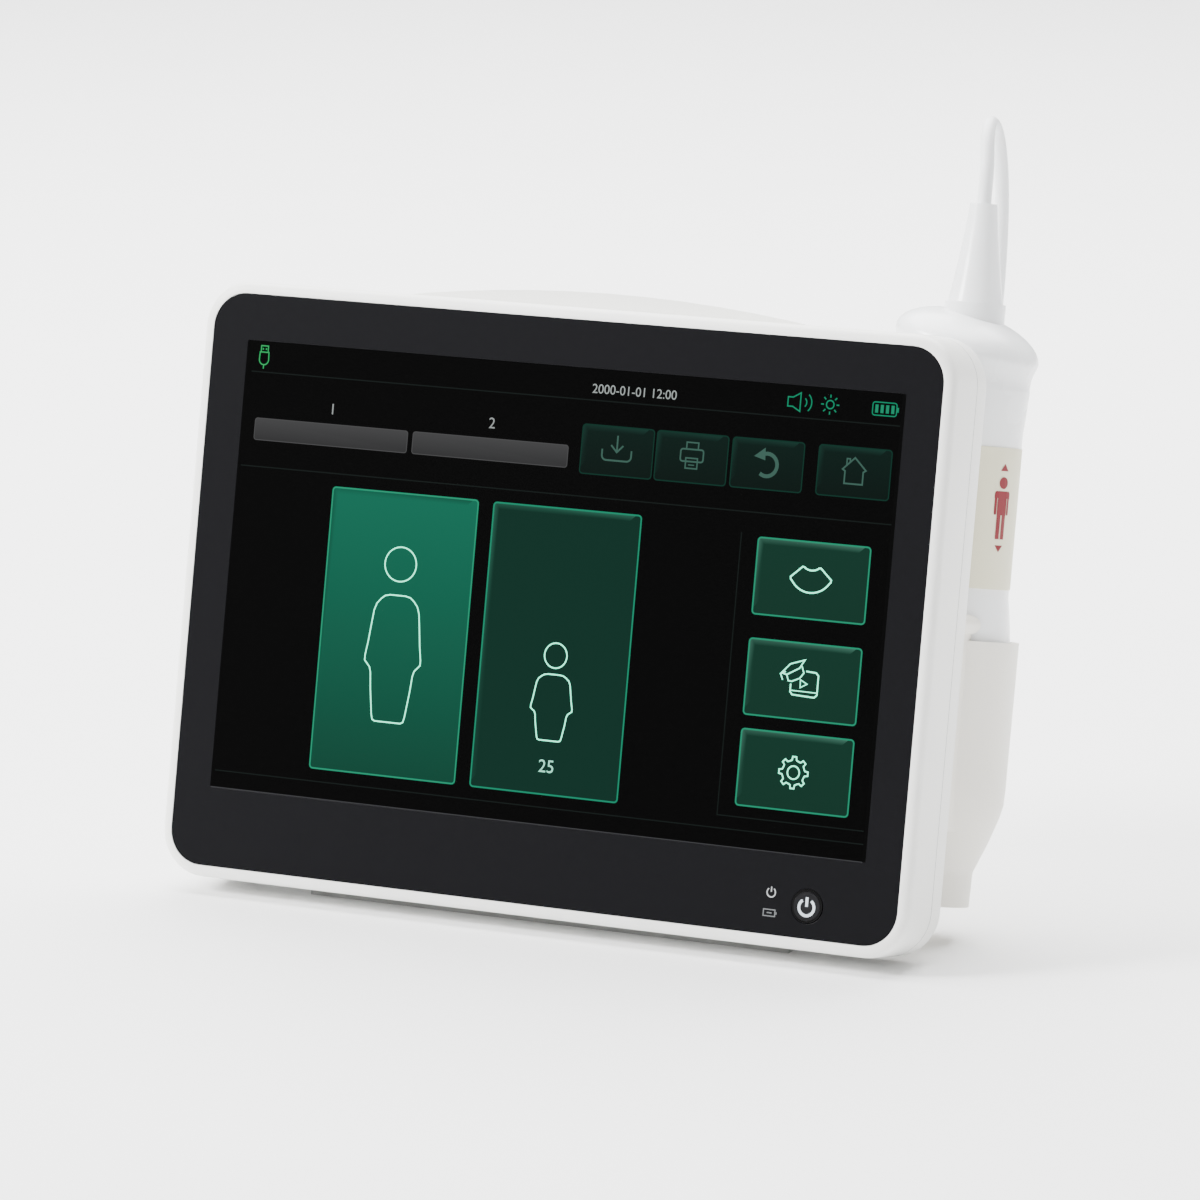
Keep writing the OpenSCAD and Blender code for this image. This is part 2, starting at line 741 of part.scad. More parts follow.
module power_inlet() color("#2c2c2e") leaning() translate([-side_x, 0, port_board_z - port_shift]) {
    difference() {
        rod(0, 0, board_d + board_t, back_d - port_sink - board_d - board_t, inlet_w / 2);
        rod(0, 0, back_d - port_sink - port_deep, back_d, inlet_r);
    }
    rod(0, 0, board_d + board_t, back_d - port_sink - board_d - board_t - cut, inlet_pin_r);
}

module probe_socket() color("#c4c8cc") leaning() difference() {
    union() {
        rod(socket_x, socket_z, board_d, back_d - board_d, socket_r);
        rod(socket_x, socket_z, back_d, socket_flange_t, socket_flange_r);
    }
    rod(socket_x, socket_z, back_d + socket_flange_t - plug_nose_l - cut, plug_nose_l + 2 * cut,
        plug_nose_r + slip);
}

module probe_plug() color("#3a3c40") leaning() {
    rod(socket_x, socket_z, back_d + socket_flange_t - plug_nose_l, plug_nose_l + plug_gap, plug_nose_r);
    rod(socket_x, socket_z, back_d + socket_flange_t + plug_gap, plug_l, plug_r);
}

module plug_relief() color("#2c2c2e") leaning()
    translate([socket_x, plug_end_d, socket_z]) rotate([-90, 0, 0])
        cylinder(r1 = plug_relief_r, r2 = cord_d / 2 + plug_relief_lip, h = plug_relief_l);

module stand_pin() color("silver") leaning()
    translate([-pin_l / 2 + slip, hinge_d, hinge_z]) rotate([0, 90, 0])
        cylinder(r = pin_r, h = pin_l - 2 * slip);

module foot_strip() color("#3a3a3c") difference() {
    leaning() translate([-foot_strip_w / 2, strip_back_d - foot_strip_d, console_bottom - foot_deep])
        cube([foot_strip_w, foot_strip_d, foot_deep]);
    translate([-big / 2, -big / 2, -big]) cube(big);
}

// The open stand's own frame: the leg runs down from the hinge
module at_hinge() {
    translate([0, hinge_y, hinge_up]) rotate([leg_tilt, 0, 0]) children();
}

module stand_leg() color("#e9e9e5") at_hinge() difference() {
    union() {
        translate([-leg_w / 2, 0, 0]) rotate([0, 90, 0]) cylinder(r = barrel_r, h = leg_w);
        translate([-leg_w / 2, -leg_t / 2, -leg_end]) cube([leg_w, leg_t, leg_end]);
    }
    translate([-leg_w, 0, 0]) rotate([0, 90, 0]) cylinder(r = pin_r + run_gap, h = 2 * leg_w);
    for (x = [-1:1])
        translate([x * leg_w * groove_x_share, leg_t / 2 - leg_groove, -leg_end * groove_z_share])
            rotate([-90, 0, 0]) linear_extrude(leg_t)
                round_rect(leg_w * groove_w_share, leg_end * groove_l_share, barrel_r);
}

module stand_foot() color("#3a3a3c") difference() {
    at_hinge() translate([-leg_w / 2 + leg_foot_in, -leg_foot_t / 2, -leg_l - leg_foot_h])
        cube([leg_w - 2 * leg_foot_in, leg_foot_t, 2 * leg_foot_h]);
    translate([-big / 2, -big / 2, -big]) cube(big);
}

// The probe's own frame: its axis is upright and heights are those of the leaning frame
module on_probe() {
    leaning() translate([probe_x, probe_d, 0]) children();
}

// A revolved shape from points of radius and height
module turned(points) {
    rotate_extrude($fn = 72) polygon(points);
}

module holster_cup() color("#ecece6") difference() {
    union() {
        on_probe() turned(concat([[0, cup_foot_z]],
            [for (s = cup_shares) [
                cup_foot_r + s[0] * (cup_r - cup_foot_r), cup_foot_z + s[1] * (cup_rim_z - cup_foot_z)]],
            [[0, cup_rim_z]]));
        leaning() {
            slab(back_d, bracket_d) {
                translate([flange_x + flange_w / 2, bracket_low])
                    square([ear_x + bracket_in - flange_x - flange_w / 2, ear_z - bracket_low]);
                translate([ear_x, ear_z]) circle(ear_r);
            }
            slab(back_d, flange_t) translate([flange_x, bracket_low])
                square([flange_w, cup_rim_z - bracket_low]);
        }
    }
    on_probe() {
        translate([0, 0, dome_z]) cylinder(r = cup_in_r, h = big);
        translate([0, 0, dome_z]) sphere(r = cup_in_r, $fn = 96);
    }
    leaning() for (z = flange_hole_z_shares)
        rod(flange_hole_x, bracket_low * z + cup_rim_z, back_d - cut, flange_t + 2 * cut,
            screw_r + screw_clear);
}

module holster_screws() color("silver") leaning()
    for (z = flange_hole_z_shares)
        translate([flange_hole_x, 0, bracket_low * z + cup_rim_z])
            screw(back_d + flange_t, flange_t + wall);

module probe_handle() color("#e4e7ea") on_probe() turned([
    [head_r, seal_z], [head_r, cup_rim_z - ear_r], [head_r - head_blend, ear_z], [grip_r, grip_low_z],
    [grip_r, grip_high_z], [neck_r, handle_top], [neck_r - probe_wall, handle_top],
    [inner_r, grip_high_z], [inner_r, mount_z + mount_t],
    [head_r - probe_wall, mount_z + mount_t - mount_step + slip], [head_r - probe_wall, seal_z]]);

module probe_head() color("#d8dbde") on_probe() difference() {
    union() {
        translate([0, 0, dome_z]) sphere(r = head_r, $fn = 96);
        translate([0, 0, dome_z]) cylinder(r = head_r, h = seal_z - seal_t - dome_z);
    }
    translate([0, 0, dome_z]) sphere(r = head_r - probe_wall, $fn = 96);
    translate([0, 0, dome_z]) cylinder(r = head_r - probe_wall, h = big);
}

module head_seal() color("#8a8d90") on_probe() translate([0, 0, seal_z - seal_t]) difference() {
    cylinder(r = head_r - slip, h = seal_t);
    translate([0, 0, -cut]) cylinder(r = head_r - probe_wall, h = seal_t + 2 * cut);
}

module transducer_mount() color("#6d7074") on_probe() translate([0, 0, mount_z]) difference() {
    cylinder(r = head_r - probe_wall - slip, h = mount_t - mount_step);
    translate([0, 0, -cut]) cylinder(r = stack_r / 2, h = mount_t + 2 * cut);
}

module transducer() color("#a5752d") on_probe() {
    translate([0, 0, mount_z - stack_h]) cylinder(r = stack_r, h = stack_h);
    translate([0, 0, mount_z - stack_h]) intersection() {
        sphere(r = stack_r);
        translate([-stack_r, -stack_r, -stack_r]) cube([2 * stack_r, 2 * stack_r, stack_r]);
    }
}

module probe_board() color("#1f6b3a") on_probe() {
    translate([-probe_board_w / 2, 0, mount_z + mount_t - mount_step])
        cube([probe_board_w, board_t, probe_board_h]);
    translate([-probe_board_w / 3, board_t, mount_z + mount_t + probe_board_h / 3])
        cube([probe_board_w / 1.5, chip_t, probe_board_w / 1.5]);
}

module probe_label() color("#dedccd") on_probe() rotate(-label_turn)
    translate([0, 0, label_z - label_h / 2]) intersection() {
        difference() {
            cylinder(r = grip_r + label_gap + label_t, h = label_h, $fn = 96);
            translate([0, 0, -cut]) cylinder(r = grip_r + label_gap, h = label_h + 2 * cut, $fn = 96);
        }
        translate([0, -label_w / 2, 0]) cube([2 * grip_r, label_w, label_h]);
    }

// Rings of the shoulder: radius share, height, share of the tilt
function shoulder_ring(r, h, share) = [
    for (j = [0:shoulder_sides - 1])
        let (a = 360 * j / shoulder_sides)
        [r * cos(a) - shoulder_shift * share, r * sin(a),
            h - (r * cos(a) - shoulder_shift) * tan(shoulder_tilt) * share]];

// Joins rings of points into a closed solid
module loft(rings) {
    n = len(rings[0]);
    m = len(rings);
    polyhedron([for (ring = rings) each ring], concat(
        [[for (j = [0:n - 1]) j]],
        [for (i = [0:m - 2], j = [0:n - 1]) [i * n + j, (i + 1) * n + j, (i + 1) * n + (j + 1) % n]],
        [for (i = [0:m - 2], j = [0:n - 1]) [i * n + j, (i + 1) * n + (j + 1) % n, i * n + (j + 1) % n]],
        [[for (j = [n - 1:-1:0]) (m - 1) * n + j]]));
}

module probe_shoulder() color("#f1f2f3") on_probe() difference() {
    loft(concat(
        [for (s = [for (i = [len(under_shares) - 1:-1:0]) under_shares[i]])
            shoulder_ring(s[1] * shoulder_r, handle_top + s[0] * (shoulder_z - handle_top), s[2])],
        [for (i = [0:shoulder_steps]) let (a = 82 * i / shoulder_steps)
            shoulder_ring(shoulder_r * cos(a), shoulder_z + shoulder_rise * sin(a), 1)]));
    translate([0, 0, collar_seat_z]) cylinder(r = collar_r + run_gap, h = big);
}

module probe_collar() color("#f1f2f3") on_probe() translate([0, 0, collar_seat_z])
    cylinder(r = collar_r, h = collar_top - collar_seat_z);

module probe_relief() color("#e9ecef") on_probe() translate([0, 0, collar_top]) turned(concat(
    [[0, 0]],
    [for (s = relief_shares) [relief_tip_r + s[1] * (relief_r - relief_tip_r), s[0] * relief_l]],
    [[0, relief_l]]));

// Small vector helpers for the cable
function unit(v) = v / norm(v);
function heading(p, i) = unit(p[min(i + 1, len(p) - 1)] - p[max(i - 1, 0)]);
function across(v, t) = unit(v - (v * t) * t);
function frames(p, side, i = 0) = i == len(p) ? [] :
    let (t = heading(p, i), a = across(side, t)) concat([[a, cross(t, a)]], frames(p, a, i + 1));

// A round tube along points, its first ring turned to a given side
module tube(p, side, sides) {
    f = frames(p, side);
    loft([for (i = [0:len(p) - 1]) [for (j = [0:sides - 1])
        p[i] + cord_d / 2 * (cos(360 * j / sides) * f[i][0] + sin(360 * j / sides) * f[i][1])]]);
}

module cord_upper() color("#eceff1") tube(concat(
    [for (l = [0, cord_d, 2 * cord_d]) upright(probe_x, probe_d, relief_top + l)], cord_high_route),
    [1, 0, 0], cord_sides);

module cord_lower() color("#eceff1")
    tube(concat(cord_low_route, [[coil_x + cord_d, cord_back, cord_lie]]), [0, 1, 0], cord_sides);

// A coil in two layers: in along the lower one, up, and out along the upper one
function climb(t) = t < -0.25 ? 0 : t > 0.25 ? 1 : 0.5 + 0.5 * sin(360 * t);
function coil_place(t) = let (a = 90 + 360 * t, r = coil_in_r + coil_step * abs(t - coil_turns / 2)) [
    coil_x + r * cos(a), coil_y + r * sin(a), cord_lie + coil_step * climb(t - coil_turns / 2)];
coil_points = [for (i = [0:coil_rings * coil_turns]) coil_place(i / coil_rings)];
function coil_ring(c, out) = [for (j = [0:coil_sides - 1]) let (a = 360 * j / coil_sides + 30)
    c + cord_d / 2 * (cos(a) * out + sin(a) * [0, 0, 1])];
coil_end_a = 90 + 360 * coil_turns;
coil_end = coil_place(coil_turns) + cord_d * [-sin(coil_end_a), cos(coil_end_a), 0];

// Least gap between the coil's turns, measured between points at least half a turn apart
coil_least_gap = min([for (i = [0:len(coil_points) - 1], j = [i + coil_rings / 2:1:len(coil_points) - 1])
    norm(coil_points[i] - coil_points[j])]) - cord_d;
echo(coil_least_gap = coil_least_gap);

module cord_coil() color("#eceff1") loft(concat(
    [coil_ring([coil_x + cord_d, cord_back, cord_lie], [0, 1, 0])],
    [for (i = [0:len(coil_points) - 1]) let (a = 90 + 360 * i / coil_rings)
        coil_ring(coil_points[i], [cos(a), sin(a), 0])],
    [coil_ring(coil_end, [cos(coil_end_a), sin(coil_end_a), 0])]));

module cord_tail() color("#eceff1") tube(concat([coil_end, coil_end - [0, cord_d, 0]], cord_tail_route,
    [for (l = [1, 0]) upright(socket_x, plug_end_d + plug_relief_l + l * cord_d, socket_z)]),
    [1, 0, 0], cord_sides);

front_bezel();
cover_glass();
display_gasket();
lcd_panel();
chassis();
chassis_screws();
main_board();
board_screws();
button_board();
light_pipes();
button_ring();
rear_shell();
case_screws();
speaker();
battery_pack();
battery_door();
door_screws();
wall_mount_inserts();
port_board();
usb_port();
power_inlet();
probe_socket();
stand_pin();
foot_strip();
holster_cup();
holster_screws();
cord_lower();
cord_coil();
cord_tail();
probe_plug();
plug_relief();
power_cap();
stand_leg();
stand_foot();
probe_handle();
probe_shoulder();
probe_collar();
probe_relief();
probe_label();
probe_head();
head_seal();
transducer();
transducer_mount();
probe_board();
cord_upper();
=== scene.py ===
# %% [markdown]
# # A bladder scanner, dressed for its portrait
# The real object is a leaning touch-screen console that stands on a table. A hand-held
# ultrasound probe waits in a cup at its right side, and a thin white cable runs from the
# probe's tail, behind the console, to a socket in its back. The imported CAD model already
# gives every rigid piece its true shape and place, so this script adds what CAD can't:
# the lit picture, the printed marks, the smooth cable, the materials and the light.

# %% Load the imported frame
import math

import bpy
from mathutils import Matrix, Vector


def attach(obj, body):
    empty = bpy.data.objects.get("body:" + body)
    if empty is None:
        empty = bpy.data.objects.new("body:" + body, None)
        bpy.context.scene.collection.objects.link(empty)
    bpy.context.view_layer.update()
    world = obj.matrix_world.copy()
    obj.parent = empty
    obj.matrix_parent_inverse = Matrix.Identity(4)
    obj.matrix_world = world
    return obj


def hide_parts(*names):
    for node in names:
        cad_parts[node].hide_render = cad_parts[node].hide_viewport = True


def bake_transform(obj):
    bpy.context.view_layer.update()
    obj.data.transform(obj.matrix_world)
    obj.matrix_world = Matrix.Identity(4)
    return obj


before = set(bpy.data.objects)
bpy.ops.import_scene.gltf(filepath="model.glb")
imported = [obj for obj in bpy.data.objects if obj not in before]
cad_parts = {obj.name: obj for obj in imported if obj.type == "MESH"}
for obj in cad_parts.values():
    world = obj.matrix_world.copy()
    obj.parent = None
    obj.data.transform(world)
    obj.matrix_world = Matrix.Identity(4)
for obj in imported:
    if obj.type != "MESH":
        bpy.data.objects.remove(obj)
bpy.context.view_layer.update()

# %% [markdown]
# The whole front leans back by 11 degrees. It is easiest to think in the panel's own
# frame: x to the right, d back from the glass and z up along the glass, all in
# millimetres from the middle of the lit picture. One small function turns such a place
# into the upright frame in metres, and everything that sits on the front goes through it.

# %% The leaning panel's frame
LEAN = math.radians(11)
PANEL_BACK, PANEL_UP = 0.4260945, 99.2182471


def upright(x, d, z):
    """The upright place, in metres, of a panel place in millimetres."""
    y = d * math.cos(LEAN) + z * math.sin(LEAN) - PANEL_BACK
    up = z * math.cos(LEAN) - d * math.sin(LEAN) + PANEL_UP
    return Vector((x, y, up)) / 1000


print("the picture's middle is at", [round(v, 4) for v in upright(0, 0, 0)])

# %% [markdown]
# The photograph was taken with a long lens from the right and a little above. A long lens
# keeps the panel's edges nearly parallel, which is why the console looks so calm. The
# camera is aimed by its direction, so its place and its lens say everything.

# %% The camera
AZIMUTH = math.radians(26.8986)
ELEVATION = math.radians(11.3316)
camera_data = bpy.data.cameras.new("portrait_camera")
camera_data.lens = 203.759
camera_data.sensor_width = 36
camera_data.clip_end = 60
camera = bpy.data.objects.new("portrait_camera", camera_data)
bpy.context.collection.objects.link(camera)
camera.location = (0.902739, -1.746234, 0.491609)
camera.rotation_euler = (math.pi / 2 - ELEVATION, 0, AZIMUTH)
bpy.context.scene.camera = camera
print("camera at", [round(v, 3) for v in camera.location], "lens", camera_data.lens, "mm")

# %% [markdown]
# The cable is 4.2 mm of limp, white jacketed lead. It could be a curve object with a round
# bevel, but a mesh tube keeps its cross-section everywhere. Its route is the CAD route in metres,
# rounded off by a smooth curve through the same points.

# %% The cable's route
CORD_R = 0.0021
PROBE_X, PROBE_D, TAIL_TOP = 107.6, 48.0, 125.8
SOCKET_X, SOCKET_Z, PLUG_END_D = -109.9, -67.35, 39.5
high_route = [upright(PROBE_X, PROBE_D, TAIL_TOP + lift) for lift in (-3, 0, 4.2, 8.4)]
high_route += [Vector(p) / 1000 for p in (
    (107.3, 73.4, 225), (105.6, 77.4, 232), (103.6, 83.6, 235.6), (102.6, 90, 233.4),
    (102.1, 94.6, 226), (101.8, 97.1, 214.5), (101.2, 98.2, 200), (100, 98.8, 184),
    (98.4, 99.1, 168), (96.8, 99.4, 155))]
low_route = [Vector(p) / 1000 for p in (
    (95.2, 99.7, 142), (92.4, 100.4, 122), (88.6, 101.4, 100), (83.6, 102.5, 78),
    (77, 103.6, 56), (68.6, 104.6, 36), (57.6, 105.4, 19), (44, 105.7, 8), (28, 105.7, 3.2),
    (10, 105.7, 2.2), (-12, 105.7, 2.2), (-36, 105.7, 2.2), (-58, 105.7, 2.2),
    (-76, 105.7, 2.2), (-83.8, 105.7, 2.2))]
COIL_X, COIL_Y, COIL_TURNS, COIL_STEP = -0.088, 0.074, 7.25, 0.0047
COIL_IN_R = 0.0317 - COIL_STEP * COIL_TURNS / 2


def climb(t):
    """How far the coil has climbed to its upper layer, t turns from the middle."""
    return 0 if t < -0.25 else 1 if t > 0.25 else 0.5 + 0.5 * math.sin(2 * math.pi * t)


def coil_place(t):
    """The cable's middle, t turns into the coil: inwards below, outwards above."""
    angle = math.pi / 2 + 2 * math.pi * t
    radius = COIL_IN_R + COIL_STEP * abs(t - COIL_TURNS / 2)
    height = 0.0022 + COIL_STEP * climb(t - COIL_TURNS / 2)
    return Vector((COIL_X + radius * math.cos(angle), COIL_Y + radius * math.sin(angle), height))


coil_route = [coil_place(i / 24) for i in range(int(24 * COIL_TURNS) + 1)]
coil_end = coil_route[-1] + Vector((0, -0.0042, 0))
tail_route = [coil_end, coil_end + Vector((0, -0.0042, 0))]
tail_route += [Vector(p) / 1000 for p in (
    (-119.4, 60, 7.7), (-118.2, 55, 10.4), (-116, 50.8, 14.6), (-113.2, 47.2, 18.8),
    (-110.9, 44, 21.8))]
tail_route += [upright(SOCKET_X, PLUG_END_D + back, SOCKET_Z) for back in (14.2, 10, 7)]
cord_route = high_route + low_route + coil_route + tail_route
print("the route has", len(cord_route), "points")

# %% [markdown]
# A smooth curve through given points is a Catmull-Rom spline. The tube then carries a ring
# of points along it. Each ring takes over the last ring's direction, turned as little as
# possible, so the jacket never twists.

# %% The cable's mesh
def smooth_path(points, steps):
    """Points of a Catmull-Rom curve through the given ones."""
    ends = [points[0] * 2 - points[1]] + points + [points[-1] * 2 - points[-2]]
    path = []
    for a, b, c, d in zip(ends, ends[1:], ends[2:], ends[3:]):
        for i in range(steps):
            t = i / steps
            path.append(0.5 * (2 * b + (c - a) * t + (2 * a - 5 * b + 4 * c - d) * t ** 2
                               + (3 * b - a - 3 * c + d) * t ** 3))
    return path + [points[-1]]


def new_piece(name, points, faces, smooth=False):
    """A linked mesh object from points and faces."""
    mesh = bpy.data.meshes.new(name)
    mesh.from_pydata([tuple(p) for p in points], [], faces)
    mesh.validate()
    if smooth:
        mesh.shade_smooth()
    piece = bpy.data.objects.new(name, mesh)
    bpy.context.collection.objects.link(piece)
    return piece


def tube(name, path, radii, sides):
    """A round tube along a path, with one radius or one for each point."""
    if not isinstance(radii, list):
        radii = [radii] * len(path)
    points, side = [], Vector((1, 0, 0))
    for i, p in enumerate(path):
        along = (path[min(i + 1, len(path) - 1)] - path[max(i - 1, 0)]).normalized()
        side = (side - along * side.dot(along)).normalized()
        across = along.cross(side)
        for j in range(sides):
            a = 2 * math.pi * j / sides
            points.append(p + radii[i] * (math.cos(a) * side + math.sin(a) * across))
    faces = [tuple(range(sides))[::-1]]
    for i in range(len(path) - 1):
        for j in range(sides):
            k = (j + 1) % sides
            faces.append((i * sides + j, i * sides + k, (i + 1) * sides + k, (i + 1) * sides + j))
    faces.append(tuple((len(path) - 1) * sides + j for j in range(sides)))
    return new_piece(name, points, faces, smooth=True)


cord_path = smooth_path(cord_route, 3)
probe_cable = tube("probe_cable", cord_path, CORD_R, 14)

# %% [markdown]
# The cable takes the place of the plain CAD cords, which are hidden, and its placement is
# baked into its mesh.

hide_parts("cord_upper", "cord_lower", "cord_coil", "cord_tail")
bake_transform(probe_cable)

# %% [markdown]
# Most of the object is moulded plastic, and moulded plastic is never quite one colour or
# perfectly flat. Two effects come back in nearly every material: a fine spark-eroded
# grain in the surface, and a slow drift of the tone. Each is a node group that is built
# once and placed in the materials with its own values.

# %% A group for the moulded grain
def node_group(name, inputs, outputs):
    """An empty shader group with float or colour sockets."""
    group = bpy.data.node_groups.new(name, "ShaderNodeTree")
    for socket_name, kind, value in inputs:
        socket = group.interface.new_socket(socket_name, in_out="INPUT", socket_type=kind)
        socket.default_value = value
    for socket_name, kind in outputs:
        group.interface.new_socket(socket_name, in_out="OUTPUT", socket_type=kind)
    return group, group.nodes.new("NodeGroupInput"), group.nodes.new("NodeGroupOutput")


FLOAT, COLOUR = "NodeSocketFloat", "NodeSocketColor"
grain, grain_in, grain_out = node_group(
    "moulded_grain", [("Scale", FLOAT, 900.0), ("Softness", FLOAT, 0.5)], [("Height", FLOAT)])
place = grain.nodes.new("ShaderNodeTexCoord")
cells = grain.nodes.new("ShaderNodeTexNoise")
cells.inputs["Detail"].default_value = 3
grain.links.new(place.outputs["Object"], cells.inputs["Vector"])
grain.links.new(grain_in.outputs["Scale"], cells.inputs["Scale"])
grain.links.new(grain_in.outputs["Softness"], cells.inputs["Roughness"])
grain.links.new(cells.outputs["Fac"], grain_out.inputs["Height"])
print("group", grain.name)

# %% A group for the drift of tone and of gloss
drift, drift_in, drift_out = node_group(
    "tone_drift",
    [("Light Tone", COLOUR, (1, 1, 1, 1)), ("Dark Tone", COLOUR, (0.8, 0.8, 0.8, 1)),
     ("Scale", FLOAT, 12.0), ("Gloss Low", FLOAT, 0.4), ("Gloss High", FLOAT, 0.5)],
    [("Color", COLOUR), ("Roughness", FLOAT)])
place = drift.nodes.new("ShaderNodeTexCoord")
clouds = drift.nodes.new("ShaderNodeTexNoise")
clouds.inputs["Detail"].default_value = 5
tones = drift.nodes.new("ShaderNodeMix")
tones.data_type = "RGBA"
gloss = drift.nodes.new("ShaderNodeMapRange")
drift.links.new(place.outputs["Object"], clouds.inputs["Vector"])
drift.links.new(drift_in.outputs["Scale"], clouds.inputs["Scale"])
drift.links.new(clouds.outputs["Fac"], tones.inputs["Factor"])
drift.links.new(drift_in.outputs["Light Tone"], tones.inputs["A"])
drift.links.new(drift_in.outputs["Dark Tone"], tones.inputs["B"])
drift.links.new(clouds.outputs["Fac"], gloss.inputs["Value"])
gloss.inputs["From Min"].default_value = 0.3
gloss.inputs["From Max"].default_value = 0.7
drift.links.new(drift_in.outputs["Gloss Low"], gloss.inputs["To Min"])
drift.links.new(drift_in.outputs["Gloss High"], gloss.inputs["To Max"])
drift.links.new(tones.outputs["Result"], drift_out.inputs["Color"])
drift.links.new(gloss.outputs["Result"], drift_out.inputs["Roughness"])
print("group", drift.name)

# %% [markdown]
# With the two groups, a finish is a short line: two close tones, a range of roughness, and
# the size and depth of its grain. Colours are written as they look on a screen, from 0 to
# 255, and turned into the linear values that Blender counts with.

# %% Finishes of plastic, rubber and metal
def linear(red, green, blue):
    """A screen colour from 0 to 255 as a linear colour with full alpha."""
    return tuple((v / 255 / 12.92) if v / 255 <= 0.04045 else ((v / 255 + 0.055) / 1.055) ** 2.4
                 for v in (red, green, blue)) + (1,)


def finish(name, light, dark, gloss_range, grain_scale=900, depth=0.1, metal=0, coat=0,
           drift_scale=12, specular=0.5):
    """A finish of two close tones with a grained surface."""
    material = bpy.data.materials.new(name)
    material.use_nodes = True
    nodes, links = material.node_tree.nodes, material.node_tree.links
    shader = nodes["Principled BSDF"]
    tone = nodes.new("ShaderNodeGroup")
    tone.node_tree = drift
    tone.inputs["Light Tone"].default_value = linear(*light)
    tone.inputs["Dark Tone"].default_value = linear(*dark)
    tone.inputs["Scale"].default_value = drift_scale
    tone.inputs["Gloss Low"].default_value = gloss_range[0]
    tone.inputs["Gloss High"].default_value = gloss_range[1]
    surface = nodes.new("ShaderNodeGroup")
    surface.node_tree = grain
    surface.inputs["Scale"].default_value = grain_scale
    bump = nodes.new("ShaderNodeBump")
    bump.inputs["Strength"].default_value = depth
    bump.inputs["Distance"].default_value = 0.0002
    links.new(tone.outputs["Color"], shader.inputs["Base Color"])
    links.new(tone.outputs["Roughness"], shader.inputs["Roughness"])
    links.new(surface.outputs["Height"], bump.inputs["Height"])
    links.new(bump.outputs["Normal"], shader.inputs["Normal"])
    shader.inputs["Metallic"].default_value = metal
    shader.inputs["Coat Weight"].default_value = coat
    shader.inputs["Coat Roughness"].default_value = 0.08
    shader.inputs["Specular IOR Level"].default_value = specular
    return material


case_white = finish("case_white", (243, 243, 240), (238, 238, 234), (0.38, 0.46), depth=0.16)
holster_white = finish("holster_white", (238, 235, 226), (234, 230, 220), (0.42, 0.5), depth=0.18)
probe_white = finish("probe_white", (249, 250, 251), (246, 248, 249), (0.24, 0.32), depth=0.05)
dome_grey = finish("dome_grey", (205, 208, 211), (198, 201, 205), (0.3, 0.36), depth=0.05)
cable_white = finish("cable_white", (243, 244, 245), (237, 239, 240), (0.42, 0.5), 1400, 0.12,
                     drift_scale=30)
border_black = finish("border_black", (17, 17, 19), (14, 14, 16), (0.3, 0.34), 1500, 0.02, drift_scale=2,
                      specular=0.06)
foam_black = finish("foam_black", (30, 30, 32), (22, 22, 24), (0.85, 0.95), 1600, 0.8)
picture_black = finish("picture_black", (9, 10, 11), (7, 8, 9), (0.4, 0.45), depth=0, specular=0.1)
cap_black = finish("cap_black", (17, 17, 19), (14, 14, 16), (0.34, 0.42), 1500, 0.1, specular=0.15)
foot_rubber = finish("foot_rubber", (172, 172, 170), (158, 158, 156), (0.7, 0.85), 1100, 0.5)
relief_rubber = finish("relief_rubber", (46, 46, 49), (38, 38, 40), (0.55, 0.65), 1300, 0.25)
dark_plastic = finish("dark_plastic", (48, 49, 52), (40, 41, 44), (0.45, 0.55), depth=0.25)
plug_grey = finish("plug_grey", (72, 75, 80), (62, 65, 70), (0.4, 0.5), 1300, 0.25)
screw_steel = finish("screw_steel", (190, 192, 195), (165, 168, 172), (0.25, 0.38), 2200, 0.12, metal=1)
# The ring's near-black tone is partly its own dark plastic and partly painted shade of the gap round the
# power cap.
ring_and_gap_shade = finish("ring_and_gap_shade", (3, 3, 3), (2, 2, 2), (0.3, 0.4), 1500, 0.05, specular=0.12)
cast_metal = finish("cast_metal", (178, 181, 185), (160, 163, 168), (0.4, 0.55), 700, 0.3, metal=1)
port_metal = finish("port_metal", (196, 198, 202), (176, 179, 184), (0.22, 0.34), 2400, 0.1, metal=1)
insert_brass = finish("insert_brass", (205, 165, 92), (180, 140, 72), (0.28, 0.42), 2400, 0.2, metal=1)
board_green = finish("board_green", (28, 96, 56), (22, 78, 45), (0.35, 0.5), 600, 0.2)
battery_blue = finish("battery_blue", (44, 98, 168), (36, 84, 150), (0.25, 0.4), 800, 0.1)
label_cream = finish("label_cream", (226, 222, 196), (220, 216, 188), (0.5, 0.58), 1700, 0.08)
clear_plastic = finish("clear_plastic", (214, 222, 228), (200, 210, 218), (0.15, 0.25), depth=0.02)
print(len(bpy.data.materials), "materials")

# %% [markdown]
# Each CAD node keeps its mesh and takes its finish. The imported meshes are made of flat
# faces, so the curved ones would show their facets. Their stored normals go, a Weld
# modifier joins the faces, and an Edge Split at 30 degrees keeps only the real edges sharp.

# %% Dress the CAD nodes
def dress(material, *names):
    """Gives CAD nodes a finish, smooth over curves and sharp at edges."""
    for name in names:
        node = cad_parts[name]
        for spot in node.material_slots:
            spot.material = material
        for stored in ("custom_normal", "sharp_edge"):
            if stored in node.data.attributes:
                node.data.attributes.remove(node.data.attributes[stored])
        node.data.shade_smooth()
        node.modifiers.new("weld", "WELD").merge_threshold = 1e-6
        node.modifiers.new("real_edges", "EDGE_SPLIT").split_angle = math.radians(30)


